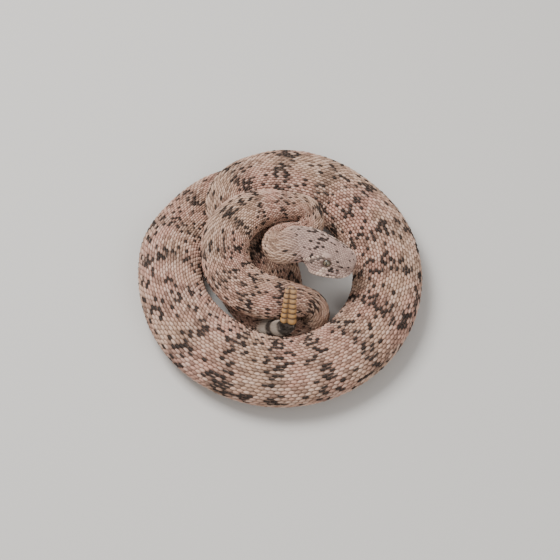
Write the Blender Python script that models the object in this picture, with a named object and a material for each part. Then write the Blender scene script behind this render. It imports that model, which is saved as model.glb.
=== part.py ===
# Southwestern speckled rattlesnake at rest in a coil, life size, as a still museum model.
# Lengths are in millimetres here and become metres where a mesh is made.
# The coil lies on the plane z = 0, with the snout towards +X and the far side towards +Y.
import math

import bmesh
import bpy
import numpy as np
from mathutils import Vector

MM = 0.001
JOINT_GAP = 0.3
BOX_CENTRE = (-0.3, -0.5)

# Round the ring: height of the axis, half height of the loaf-shaped section.
RING_AXIS = 14.4
RING_HALF_HEIGHT = 14.7

# A length that other coils lie on is pressed flat.
PRESSED_AXIS = 5.1
PRESSED_HALF_HEIGHT = 5.2

BELLY_POWER = 2.25
BODY_SIDES = 16
LONGEST_STEP = 9.5
LARGEST_TURN = math.radians(16.0)
SAMPLES_PER_POINT = 12
SMOOTHING_PASSES = 30

HEAD_ROLL = math.radians(8.0)
HEAD_DIRECTION = (0.925, -0.343, -0.162)
FACE_START = 7.0
NAPE_LENGTH = 16.0
EYE_RADIUS = 2.4
EYE_ALONG = 20.1
EYE_HEIGHT = 0.52
EYE_SINK = 1.3
BROW_REACH = 1.1
MOUTH_DEPTH = 0.75
JAW_CORNER = 8.0
NOSTRIL_RADIUS = 0.75
NOSTRIL_ALONG = 33.0
PIT_RADIUS = 0.95
PIT_ALONG = 28.5

RATTLE_SEGMENTS = 7
RATTLE_PITCH = 3.14
RATTLE_BASE_WIDTH = 10.0
RATTLE_TIP_WIDTH = 7.0
RATTLE_THICKNESS = 0.62
RATTLE_DIRECTION = (0.075, 0.618, 0.783)
RATTLE_SIDES = 14


def ring_arc(start, end, count, radius, half_width):
    """Points round the ring, from one angle to another, with radius and width changing evenly."""
    points = []
    for i in range(count):
        part = i / (count - 1)
        angle = math.radians(start + (end - start) * part)
        reach = radius[0] + (radius[1] - radius[0]) * part
        width = half_width[0] + (half_width[1] - half_width[0]) * part
        points.append((reach * math.cos(angle), reach * math.sin(angle), RING_AXIS, width, RING_HALF_HEIGHT))
    return points


def pressed(x, y, half_width):
    """A point of a length that lies flat on the ground under other coils."""
    return (x, y, PRESSED_AXIS, half_width, PRESSED_HALF_HEIGHT)


def neck_arc(centre, radius, count, rise, half_width, half_height):
    """Half a turn to the right, seen from above, from heading +X to heading -X."""
    points = []
    for i in range(count):
        part = i / (count - 1)
        angle = math.radians(90.0 - 180.0 * part)
        height = rise[0] + (rise[1] - rise[0]) * part
        width = half_width[0] + (half_width[1] - half_width[0]) * part
        tall = half_height[0] + (half_height[1] - half_height[0]) * part
        x = centre[0] + radius * math.cos(angle)
        y = centre[1] + radius * math.sin(angle)
        points.append((x, y, height, width, tall))
    return points


# The route of the body's axis from the tail's end to the nape, one list for each length.
# Each point is x, y, z, half width and half height.
ROUTE = [
    ("tail", [
        (4.5, -37.8, 28.0, 4.5, 4.5),
        (3.5, -39.2, 24.2, 4.7, 4.7),
        (-1.0, -37.9, 20.4, 4.9, 4.9),
        (-5.5, -35.5, 14.6, 5.0, 4.9),
        (-11.0, -30.2, 9.6, 6.2, 5.2),
        (-16.0, -24.0, 6.5, 7.8, 5.2),
    ]),
    ("hind_body_inner", [
        pressed(-21.5, -16.5, 9.3),
        pressed(-26.2, -7.0, 10.4),
        pressed(-29.5, 2.5, 11.0),
        pressed(-29.5, 12.0, 11.5),
        pressed(-25.6, 20.7, 12.2),
        pressed(-18.3, 26.8, 12.8),
    ]),
    ("hind_body_turn", [
        pressed(-9.8, 32.3, 13.4),
        pressed(-4.3, 40.3, 14.0),
        pressed(-4.3, 51.2, 14.6),
        pressed(-10.4, 60.4, 15.9),
        pressed(-22.0, 64.7, 17.1),
    ]),
    ("ring_far_left", [
        pressed(-34.8, 61.6, 18.0),
        (-45.7, 53.7, 5.5, 18.6, 5.6),
        (-54.5, 43.3, 6.8, 18.9, 7.0),
        (-61.3, 31.7, 9.7, 19.2, 9.9),
        (-65.7, 19.0, 13.2, 19.4, 13.5),
    ]),
    ("ring_left", [(-66.6, 5.0, RING_AXIS, 19.5, RING_HALF_HEIGHT)]
        + ring_arc(188.0, 218.0, 3, (66.2, 63.8), (19.5, 21.8))),
    ("ring_near_left", ring_arc(232.0, 268.0, 3, (63.0, 64.0), (22.4, 21.7))),
    ("ring_near_right", ring_arc(286.0, 322.0, 3, (64.2, 64.5), (21.5, 21.2))),
    ("ring_right", ring_arc(340.0, 376.0, 3, (64.7, 65.0), (21.0, 20.9))),
    ("ring_far_right", ring_arc(394.0, 412.0, 2, (65.2, 65.3), (20.6, 20.2))
        + [(32.3, 57.3, 15.2, 20.1, 14.4)]),
    ("ring_far", [
        (22.0, 61.6, 18.0, 20.1, 12.5),
        (11.0, 64.0, 20.6, 19.8, 10.4),
        (-1.2, 65.3, 21.1, 19.2, 10.1),
        (-12.2, 64.0, 20.8, 17.6, 9.9),
    ]),
    ("crossing_bend", [
        (-21.3, 61.4, 20.5, 16.6, 9.5),
        (-27.9, 55.2, 20.1, 16.2, 9.0),
        (-30.2, 46.5, 19.6, 15.9, 8.4),
        (-28.0, 38.0, 18.9, 15.6, 7.7),
        (-21.5, 31.0, 18.4, 15.0, 7.1),
    ]),
    ("body_under_coil", [
        (-10.5, 21.5, 16.6, 14.3, 6.7),
        (-3.0, 10.0, 11.0, 13.6, 6.1),
        (0.5, -1.2, 6.3, 12.8, 5.8),
        (1.5, -10.5, 5.5, 11.8, 5.6),
        (2.3, -19.5, 5.2, 10.2, 5.3),
        (5.6, -27.6, 5.4, 9.0, 5.5),
    ]),
    ("fold", [
        (12.5, -30.8, 6.6, 8.4, 6.8),
        (18.6, -29.2, 8.8, 8.2, 8.2),
        (21.2, -25.6, 14.0, 8.4, 8.6),
        (18.8, -21.9, 19.2, 8.6, 8.6),
        (12.5, -20.5, 21.8, 9.3, 8.8),
    ]),
    ("fore_body_near", [
        (5.0, -20.3, 22.9, 11.6, 9.9),
        (-6.0, -19.0, 23.4, 13.4, 10.7),
        (-15.5, -16.0, 23.5, 14.3, 11.0),
        (-24.0, -10.8, 23.7, 14.6, 11.0),
    ]),
    ("fore_body_left", [
        (-30.5, -3.0, 24.7, 14.6, 11.0),
        (-33.5, 8.0, 28.7, 14.6, 11.0),
        (-32.0, 18.3, 33.9, 14.6, 10.7),
    ]),
    ("fore_body_far", [
        (-25.6, 26.8, 36.7, 14.0, 10.4),
        (-16.5, 33.0, 37.2, 12.8, 10.4),
        (-5.5, 35.7, 37.2, 10.7, 10.1),
        (3.6, 36.0, 37.2, 8.8, 9.2),
    ]),
    ("neck_bend", neck_arc((11.2, 27.8), 7.7, 7, (36.9, 30.5), (7.9, 7.3), (8.5, 7.3))),
    ("neck", [
        (4.9, 20.4, 30.2, 7.4, 7.3),
        (-0.2, 18.0, 31.2, 7.8, 7.5),
        (-2.2, 12.8, 34.6, 8.6, 7.8),
        (-1.8, 7.4, 39.2, 9.3, 8.0),
        (0.8, 4.1, 43.4, 10.2, 8.0),
        (5.2, 3.9, 46.2, 11.1, 7.8),
        (10.4, 4.7, 47.2, 11.7, 7.6),
    ]),
]

# Along the head from the nape: distance, half width, crown height, chin depth.
HEAD_STATIONS = [
    (0.0, 11.7, 7.6, 7.6),
    (2.5, 12.8, 7.8, 7.6),
    (5.5, 14.0, 8.1, 7.6),
    (9.0, 15.0, 8.4, 7.6),
    (12.5, 15.6, 8.6, 7.4),
    (16.0, 15.7, 8.5, 7.1),
    (19.0, 15.4, 8.3, 6.7),
    (22.0, 14.9, 7.8, 6.2),
    (25.0, 14.1, 7.0, 5.7),
    (28.0, 13.1, 6.2, 5.2),
    (31.0, 11.7, 5.4, 4.7),
    (33.5, 9.9, 4.6, 4.1),
    (35.3, 7.5, 3.7, 3.2),
    (36.5, 4.4, 2.3, 2.0),
]

# Half of the head's section from crown to chin: share of the half width behind the eyes,
# the same in front of them, where the face slopes out to the lips, and share of the height.
HEAD_SECTION = [
    ("crown", 0.0, 0.0, 1.0),
    ("crown_side", 0.42, 0.34, 0.99),
    ("brow", 0.68, 0.50, 0.87),
    ("temple", 0.85, 0.62, 0.50),
    ("cheek", 0.96, 0.80, 0.10),
    ("upper_lip", 1.0, 1.0, -0.22),
    ("mouth", 0.96, 0.96, -0.34),
    ("lower_lip", 0.93, 0.93, -0.46),
    ("jaw", 0.72, 0.72, -0.82),
    ("under_jaw", 0.36, 0.36, -0.98),
    ("chin", 0.0, 0.0, -1.0),
]


def remove_everything():
    for item in list(bpy.data.objects):
        bpy.data.objects.remove(item)


def ease(value):
    """A smooth step from 0 to 1."""
    value = min(1.0, max(0.0, value))
    return value * value * (3.0 - 2.0 * value)


def make_material(name, colour, roughness):
    material = bpy.data.materials.new(name)
    material.use_nodes = True
    shader = material.node_tree.nodes["Principled BSDF"]
    shader.inputs["Base Color"].default_value = (*colour, 1.0)
    shader.inputs["Roughness"].default_value = roughness
    shader.inputs["Metallic"].default_value = 0.0
    material.diffuse_color = (*colour, 1.0)
    return material


def axis_curve(points):
    """A centripetal Catmull-Rom curve through the points, then smoothed, with each sample's place in the list."""
    ends = np.vstack([2 * points[0] - points[1], points, 2 * points[-1] - points[-2]])
    samples = []
    places = []
    for i in range(len(points) - 1):
        p0, p1, p2, p3 = ends[i:i + 4]
        t1 = np.linalg.norm((p1 - p0)[:3]) ** 0.5
        t2 = t1 + np.linalg.norm((p2 - p1)[:3]) ** 0.5
        t3 = t2 + np.linalg.norm((p3 - p2)[:3]) ** 0.5
        for k in range(SAMPLES_PER_POINT):
            t = t1 + (t2 - t1) * k / SAMPLES_PER_POINT
            a1 = (t1 - t) / t1 * p0 + t / t1 * p1
            a2 = (t2 - t) / (t2 - t1) * p1 + (t - t1) / (t2 - t1) * p2
            a3 = (t3 - t) / (t3 - t2) * p2 + (t - t2) / (t3 - t2) * p3
            b1 = (t2 - t) / t2 * a1 + t / t2 * a2
            b2 = (t3 - t) / (t3 - t1) * a2 + (t - t1) / (t3 - t1) * a3
            samples.append((t2 - t) / (t2 - t1) * b1 + (t - t1) / (t2 - t1) * b2)
            places.append(i + k / SAMPLES_PER_POINT)
    samples.append(points[-1])
    places.append(len(points) - 1)
    path = np.array(samples)
    for _ in range(SMOOTHING_PASSES):
        inner = 0.25 * path[:-2] + 0.5 * path[1:-1] + 0.25 * path[2:]
        path = np.vstack([path[:1], inner, path[-1:]])
    return path, np.array(places)


class Axis:
    """The body's axis by distance from the tail's end."""

    def __init__(self, points):
        path, places = axis_curve(np.array(points))
        steps = np.linalg.norm(np.diff(path[:, :3], axis=0), axis=1)
        self.distance = np.concatenate([[0.0], np.cumsum(steps)])
        self.path = path
        self.places = places
        self.length = float(self.distance[-1])
        tangents = np.gradient(path[:, :3], self.distance, axis=0)
        self.tangents = tangents / np.linalg.norm(tangents, axis=1)[:, None]
        turns = np.linalg.norm(np.diff(self.tangents, axis=0), axis=1)
        self.cost = np.concatenate([[0.0], np.cumsum(steps / LONGEST_STEP + turns / LARGEST_TURN)])

    def distance_at(self, place):
        return float(np.interp(place, self.places, self.distance))

    def at(self, distance):
        """Centre, right, up, half width and half height at one distance."""
        values = [float(np.interp(distance, self.distance, self.path[:, k])) for k in range(5)]
        along = [float(np.interp(distance, self.distance, self.tangents[:, k])) for k in range(3)]
        tangent = Vector(along).normalized()
        right = tangent.cross(Vector((0.0, 0.0, 1.0))).normalized()
        up = right.cross(tangent)
        return Vector(values[:3]), tangent, right, up, values[3], values[4]

    def stations(self, start, end):
        """Distances from start to end, closer together where the body bends."""
        first = float(np.interp(start, self.distance, self.cost))
        last = float(np.interp(end, self.distance, self.cost))
        count = max(3, math.ceil(last - first) + 1)
        inner = [float(np.interp(first + (last - first) * i / (count - 1), self.cost, self.distance))
                 for i in range(1, count - 1)]
        return [start] + inner + [end]


def section_share(angle):
    """A loaf-shaped section: round above, squarer below."""
    across = math.cos(angle)
    tall = math.sin(angle)
    power = BELLY_POWER if tall < 0.0 else 2.0
    scale = (abs(across) ** power + abs(tall) ** power) ** (-1.0 / power)
    return across * scale, tall * scale


def body_section(axis, distance, sides):
    centre, _, right, up, half_width, half_height = axis.at(distance)
    points = []
    for i in range(sides):
        across, tall = section_share(2.0 * math.pi * (i + 0.5) / sides)
        point = centre + right * (across * half_width) + up * (tall * half_height)
        point.z = max(point.z, 0.0)
        points.append(point)
    return points


def place(point):
    """From the route's millimetres to metres, with the coil's box centred on the origin."""
    return Vector(((point.x - BOX_CENTRE[0]) * MM, (point.y - BOX_CENTRE[1]) * MM, point.z * MM))


def loft(name, sections, material):
    """A closed skin over a row of sections that have the same number of points."""
    mesh_maker = bmesh.new()
    rows = []
    for section in sections:
        circle = bmesh.ops.create_circle(mesh_maker, cap_ends=False, segments=len(section), radius=MM)
        for vert, point in zip(circle["verts"], section):
            vert.co = place(point)
        edges = [edge for vert in circle["verts"] for edge in vert.link_edges]
        rows.append(list(dict.fromkeys(edges)))
    for first, second in zip(rows, rows[1:]):
        bmesh.ops.bridge_loops(mesh_maker, edges=first + second)
    bmesh.ops.contextual_create(mesh_maker, geom=rows[0])
    bmesh.ops.contextual_create(mesh_maker, geom=rows[-1])
    bmesh.ops.recalc_face_normals(mesh_maker, faces=mesh_maker.faces)
    mesh = bpy.data.meshes.new(name)
    mesh_maker.to_mesh(mesh)
    mesh_maker.free()
    mesh.shade_smooth()
    mesh.set_sharp_from_angle(angle=math.radians(50.0))
    mesh.materials.append(material)
    item = bpy.data.objects.new(name, mesh)
    bpy.context.collection.objects.link(item)
    return item


def ball(name, centre, radius, segments, material=None):
    """A sphere whose centre is given in the route's millimetres."""
    mesh_maker = bmesh.new()
    bmesh.ops.create_uvsphere(mesh_maker, u_segments=segments, v_segments=segments // 2, radius=radius * MM)
    mesh = bpy.data.meshes.new(name)
    mesh_maker.to_mesh(mesh)
    mesh_maker.free()
    mesh.shade_smooth()
    if material:
        mesh.materials.append(material)
    item = bpy.data.objects.new(name, mesh)
    bpy.context.collection.objects.link(item)
    item.location = place(centre)
    return item


def cut(item, cutter):
    """Cut one shape out of another and keep the cutter as a hidden guide."""
    cutter.hide_render = True
    cutter.display_type = "WIRE"
    modifier = item.modifiers.new(cutter.name, "BOOLEAN")
    modifier.operation = "DIFFERENCE"
    modifier.solver = "EXACT"
    modifier.object = cutter


def make_body(axis, material):
    """Each length of the body, parted from the next by a thin joint."""
    first_place = 0
    for index, (name, points) in enumerate(ROUTE):
        start = axis.distance_at(first_place)
        first_place += len(points)
        end = axis.distance_at(first_place) if index < len(ROUTE) - 1 else axis.length
        start += JOINT_GAP / 2.0
        end -= JOINT_GAP / 2.0
        sections = [body_section(axis, distance, BODY_SIDES) for distance in axis.stations(start, end)]
        loft(name, sections, material)


class HeadFrame:
    """Turns a place along, right of and above the head's axis into the route's millimetres."""

    def __init__(self, axis):
        self.start, self.nape, _, _, self.nape_width, self.nape_height = axis.at(axis.length)
        self.forward = Vector(HEAD_DIRECTION).normalized()

    def axes(self, along):
        turn = ease(along / NAPE_LENGTH)
        normal = self.nape.lerp(self.forward, turn).normalized()
        level = normal.cross(Vector((0.0, 0.0, 1.0))).normalized()
        upright = level.cross(normal)
        roll = HEAD_ROLL * turn
        right = level * math.cos(roll) + upright * math.sin(roll)
        up = upright * math.cos(roll) - level * math.sin(roll)
        return right, up

    def point(self, along, right, up):
        to_right, to_top = self.axes(along)
        return self.start + self.forward * along + to_right * right + to_top * up


def head_size(along):
    """Half width, crown height and chin depth at a distance from the nape."""
    table = np.array(HEAD_STATIONS)
    return [float(np.interp(along, table[:, 0], table[:, k])) for k in (1, 2, 3)]


def bump(along, centre, reach):
    """1 at the centre, falling smoothly to 0 at the reach on either side."""
    return ease(1.0 - abs(along - centre) / reach)


def head_half_section(along):
    """Right half of the section, crown to chin, as pairs of distance to the side and height."""
    half_width, crown, chin = head_size(along)
    mouth_share = ease((along - JAW_CORNER) / 6.0)
    brow_share = bump(along, EYE_ALONG + 0.5, 6.5)
    snout_edge = ease((along - 22.0) / 6.0)
    forward_share = ease((along - FACE_START) / (EYE_ALONG - FACE_START))
    points = []
    for label, behind, before, tall in HEAD_SECTION:
        side = (behind + (before - behind) * forward_share) * half_width
        height = tall * (crown if tall > 0.0 else chin)
        if label == "brow":
            side += BROW_REACH * brow_share + 0.06 * half_width * snout_edge
            height += 0.55 * BROW_REACH * brow_share
        if label == "temple":
            side -= 0.35 * brow_share + 0.05 * half_width * snout_edge
        if label == "upper_lip":
            side += 0.25 * mouth_share
            height += 0.15 * mouth_share
        if label == "mouth":
            side -= MOUTH_DEPTH * mouth_share * min(1.0, half_width / 6.0)
        if label == "lower_lip":
            height -= 0.1 * mouth_share
        points.append((side, height))
    return points


def head_section(frame, along):
    """Twenty points round the head, blended from the round nape to the head's own section."""
    half = head_half_section(along)
    outline = half + [(-side, height) for side, height in reversed(half[1:-1])]
    blend = ease(along / 6.0)
    half_width, crown, chin = head_size(along)
    points = []
    for i, (side, height) in enumerate(outline):
        angle = math.pi / 2.0 - 2.0 * math.pi * i / len(outline)
        across, tall = section_share(angle)
        round_side = across * half_width
        round_height = tall * (crown if tall > 0.0 else chin)
        side = round_side + (side - round_side) * blend
        height = round_height + (height - round_height) * blend
        points.append(frame.point(along, side, height))
    return points


def side_of_head(along, tall_share):
    """Distance to the side and height of the head's surface at a share of the crown's height."""
    half = head_half_section(along)
    _, crown, _ = head_size(along)
    heights = [height for _, height in reversed(half)]
    sides = [side for side, _ in reversed(half)]
    return float(np.interp(tall_share * crown, heights, sides)), tall_share * crown


def make_head(axis, skin, eye_material):
    frame = HeadFrame(axis)
    last = HEAD_STATIONS[-1][0]
    distances = [JOINT_GAP] + [row[0] for row in HEAD_STATIONS[1:]]
    head = loft("head", [head_section(frame, min(along, last)) for along in distances], skin)
    smooth = head.modifiers.new("smooth", "SUBSURF")
    smooth.levels = 1
    smooth.render_levels = 1
    for name, sign in (("right", 1.0), ("left", -1.0)):
        side, height = side_of_head(EYE_ALONG, EYE_HEIGHT)
        centre = frame.point(EYE_ALONG, sign * (side - EYE_SINK), height)
        cut(head, ball("socket_" + name, centre, EYE_RADIUS + JOINT_GAP, 16))
        ball("eye_" + name, centre, EYE_RADIUS, 16, eye_material)
        side, height = side_of_head(NOSTRIL_ALONG, 0.35)
        cut(head, ball("nostril_" + name, frame.point(NOSTRIL_ALONG, sign * side, height), NOSTRIL_RADIUS, 10))
        side, height = side_of_head(PIT_ALONG, 0.12)
        cut(head, ball("pit_" + name, frame.point(PIT_ALONG, sign * side, height), PIT_RADIUS, 10))


def rattle_section(centre, across, facing, half_width, half_thickness):
    """A flattened section with a shallow groove down the middle of both broad faces."""
    points = []
    for i in range(RATTLE_SIDES):
        angle = 2.0 * math.pi * i / RATTLE_SIDES
        wide = math.cos(angle)
        thick = math.sin(angle) * (0.72 + 0.28 * min(1.0, abs(wide) / 0.5))
        points.append(centre + across * (wide * half_width) + facing * (thick * half_thickness))
    return points


def make_rattle(axis, material):
    """Loose horny rings in a row, each widest near its base and nipped in before the next."""
    start, tangent, _, _, _, _ = axis.at(0.0)
    direction = Vector(RATTLE_DIRECTION).normalized()
    base_normal = -tangent
    across = Vector((1.0, 0.0, 0.0))
    length = RATTLE_SEGMENTS * RATTLE_PITCH
    sections = []
    profile = ((0.0, 0.84), (0.25, 0.98), (0.6, 1.0), (0.88, 0.88))
    for segment in range(RATTLE_SEGMENTS):
        for part, swell in profile:
            along = (segment + part) * RATTLE_PITCH
            share = along / length
            width = RATTLE_BASE_WIDTH + (RATTLE_TIP_WIDTH - RATTLE_BASE_WIDTH) * share
            normal = base_normal.lerp(direction, ease(along / RATTLE_PITCH)).normalized()
            facing = across.cross(normal).normalized()
            level = normal.cross(facing).normalized()
            centre = start + base_normal * JOINT_GAP / 2.0 + direction * along
            half_width = width * swell / 2.0
            sections.append(rattle_section(centre, level, facing, half_width, half_width * RATTLE_THICKNESS))
    tip = start + base_normal * JOINT_GAP / 2.0 + direction * (length + 0.3 * RATTLE_PITCH)
    facing = across.cross(direction).normalized()
    sections.append(rattle_section(tip, across, facing, 0.3 * RATTLE_TIP_WIDTH, 0.2 * RATTLE_TIP_WIDTH))
    loft("rattle", sections, material)


def main():
    remove_everything()
    skin = make_material("speckled_scales", (0.53, 0.39, 0.32), 0.62)
    horn = make_material("rattle_horn", (0.58, 0.40, 0.20), 0.42)
    eye_material = make_material("eye", (0.20, 0.17, 0.09), 0.12)
    points = [point for _, group in ROUTE for point in group]
    axis = Axis(points)
    make_body(axis, skin)
    make_head(axis, skin, eye_material)
    make_rattle(axis, horn)


main()
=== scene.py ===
# A still, life-size southwestern speckled rattlesnake at rest in a coil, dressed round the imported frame.
# One skin runs from the tail to the snout, and thousands of solid scales lie on it.
# Lengths of the animal are in millimetres until a mesh is made, which is in metres.
import functools
import math

import bmesh
import bpy
import numpy as np
from bpy.props import FloatProperty, FloatVectorProperty, IntProperty, PointerProperty
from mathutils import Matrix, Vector


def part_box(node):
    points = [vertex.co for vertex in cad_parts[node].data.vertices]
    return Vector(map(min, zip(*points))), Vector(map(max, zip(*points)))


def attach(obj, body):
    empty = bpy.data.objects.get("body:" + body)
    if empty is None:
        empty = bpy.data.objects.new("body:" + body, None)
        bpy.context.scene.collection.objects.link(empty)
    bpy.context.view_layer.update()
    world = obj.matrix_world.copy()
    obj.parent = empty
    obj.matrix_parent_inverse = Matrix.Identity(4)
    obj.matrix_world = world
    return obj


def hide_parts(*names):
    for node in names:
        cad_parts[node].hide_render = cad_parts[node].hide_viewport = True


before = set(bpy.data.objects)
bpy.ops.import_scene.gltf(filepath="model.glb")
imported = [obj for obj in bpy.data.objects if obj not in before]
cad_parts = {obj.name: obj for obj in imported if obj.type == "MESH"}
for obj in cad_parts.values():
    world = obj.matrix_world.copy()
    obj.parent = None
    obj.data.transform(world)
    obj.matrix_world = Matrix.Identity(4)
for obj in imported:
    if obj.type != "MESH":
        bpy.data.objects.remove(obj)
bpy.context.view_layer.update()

bl_info = {
    "name": "Coiled speckled rattlesnake",
    "version": (1, 0, 0),
    "blender": (4, 5, 0),
    "location": "View3D > Sidebar > Rattlesnake",
    "description": "Skin, scales, eyes, rattle and studio for a still, life-size coiled rattlesnake",
    "category": "Add Mesh",
}

MM = 0.001
BOX_CENTRE = (-0.3, -0.5)

# Round the ring: height of the axis, half height of the loaf-shaped section.
RING_AXIS = 14.4
RING_HALF_HEIGHT = 14.7
RING_GIRTH = 114.0

# A length that other coils lie on is pressed flat.
PRESSED_AXIS = 5.1
PRESSED_HALF_HEIGHT = 5.2

BELLY_POWER = 2.25
SAMPLES_PER_POINT = 12
SMOOTHING_PASSES = 30

HEAD_ROLL = math.radians(8.0)
HEAD_DIRECTION = (0.925, -0.343, -0.162)
FACE_START = 7.0
NAPE_LENGTH = 16.0
BROW_REACH = 1.1
MOUTH_DEPTH = 0.75
JAW_CORNER = 8.0
EYE_ALONG = 20.1
PIT_ALONG = 28.5

# The opening over each eye: its radius, the lid round it, and how deep and sheer the socket is.
EYE_OPENING = 2.3
LID_HEIGHT = 0.18
LID_PLACE = 0.45
LID_WIDTH = 0.34
SOCKET_DEPTH = 1.5
SOCKET_EDGE = 0.35

# Nostril and heat pit: place along the head, height as a share of the crown's, depth and radius.
FACE_OPENINGS = ((33.0, 0.35, 0.8, 0.62), (PIT_ALONG, 0.12, 1.1, 0.8))
OPENING_RIM = 0.16

RATTLE_SEGMENTS = 7
RATTLE_PITCH = 3.14
RATTLE_BASE_WIDTH = 10.0
RATTLE_TIP_WIDTH = 7.0
RATTLE_THICKNESS = 0.62
GROOVE_PLACE = -0.18
RATTLE_DIRECTION = (0.075, 0.618, 0.783)
JOINT_GAP = 0.3

# One segment of the rattle, and the rounded end past the last: share of the pitch, share of the full width.
SEGMENT_PROFILE = ((0.0, 0.76), (0.07, 0.90), (0.2, 0.98), (0.4, 1.0),
                   (0.6, 0.98), (0.8, 0.91), (0.93, 0.80))
RATTLE_END = ((0.12, 0.62), (0.22, 0.45), (0.28, 0.2), (0.29, 0.0))

# How finely the surface is sampled: millimetres along the body, and points round it.
BODY_STEP = 1.0
HEAD_STEPS = 10
HALF_POINTS = 129
SKIN_COLUMN_STEP = 2
SKIN_BODY_ROW_STEP = 2

# One scale: length in pitches, half width in row spacings, how far it may turn, and how its height varies.
SCALE_LENGTH = 1.42
SCALE_HALF_WIDTH = 0.78
SCALE_SKEW = 0.05
HEIGHT_RANGE = (0.85, 1.15)

# Scales shrink with the girth to this power, and towards the spine by this share.
SIZE_POWER = 0.55
SPINE_NARROWING = 0.14

# The bake's map: strips of the body, and the width in the map of one scale's patch.
BODY_STRIPS = 3
BAKE_PATCH = 0.003

# Where the belly's broad plates take over from the scale rows, as a share of the girth from the spine.
BELLY_SHARE = 0.355

# Small scales of the head: where they start and end along it, rows, heights and the throat's share.
HEAD_SCALES_START = 1.2
HEAD_SCALES_END = 36.2
HEAD_ROWS = 33
CROWN_SCALE_HEIGHT = 0.40
THROAT_SCALE_HEIGHT = 0.30
THROAT_PITCH = 1.3
THROAT_SHARE = 0.24

# Plates of the lips and brows.
LIP_PLATE_START = 6.5
LIP_PLATE_END = 36.4
LIP_PLATE_HEIGHT = 2.0
LIP_PLATE_THICKNESS = 0.42
MOUTH_GAP = 0.22
BROW_SHARE = 0.076
BROW_LENGTH = 8.0
BROW_HALF_WIDTH = 1.6
BROW_THICKNESS = 0.62

# Dark bands: from one to the next on the ring, the same in front of it, and where the ring ends.
BAND_SPACING = 25.6
FORE_BAND_SPACING = 17.0
RING_END = 655.0

# Where the body's colours give way to the head's, and the tail's to the body's, in millimetres.
HEAD_FADE = (-10.0, 3.0)
TAIL_FADE = (22.0, 27.0)


def ring_arc(start, end, count, radius, half_width):
    """Points round the ring, from one angle to another, with radius and width changing evenly."""
    points = []
    for i in range(count):
        part = i / (count - 1)
        angle = math.radians(start + (end - start) * part)
        reach = radius[0] + (radius[1] - radius[0]) * part
        width = half_width[0] + (half_width[1] - half_width[0]) * part
        points.append((reach * math.cos(angle), reach * math.sin(angle), RING_AXIS, width, RING_HALF_HEIGHT))
    return points


def pressed(x, y, half_width):
    """A point of a length that lies flat on the ground under other coils."""
    return (x, y, PRESSED_AXIS, half_width, PRESSED_HALF_HEIGHT)


def neck_arc(centre, radius, count, rise, half_width, half_height):
    """Half a turn to the right, seen from above, from heading +X to heading -X."""
    points = []
    for i in range(count):
        part = i / (count - 1)
        angle = math.radians(90.0 - 180.0 * part)
        height = rise[0] + (rise[1] - rise[0]) * part
        width = half_width[0] + (half_width[1] - half_width[0]) * part
        tall = half_height[0] + (half_height[1] - half_height[0]) * part
        x = centre[0] + radius * math.cos(angle)
        y = centre[1] + radius * math.sin(angle)
        points.append((x, y, height, width, tall))
    return points


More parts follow.
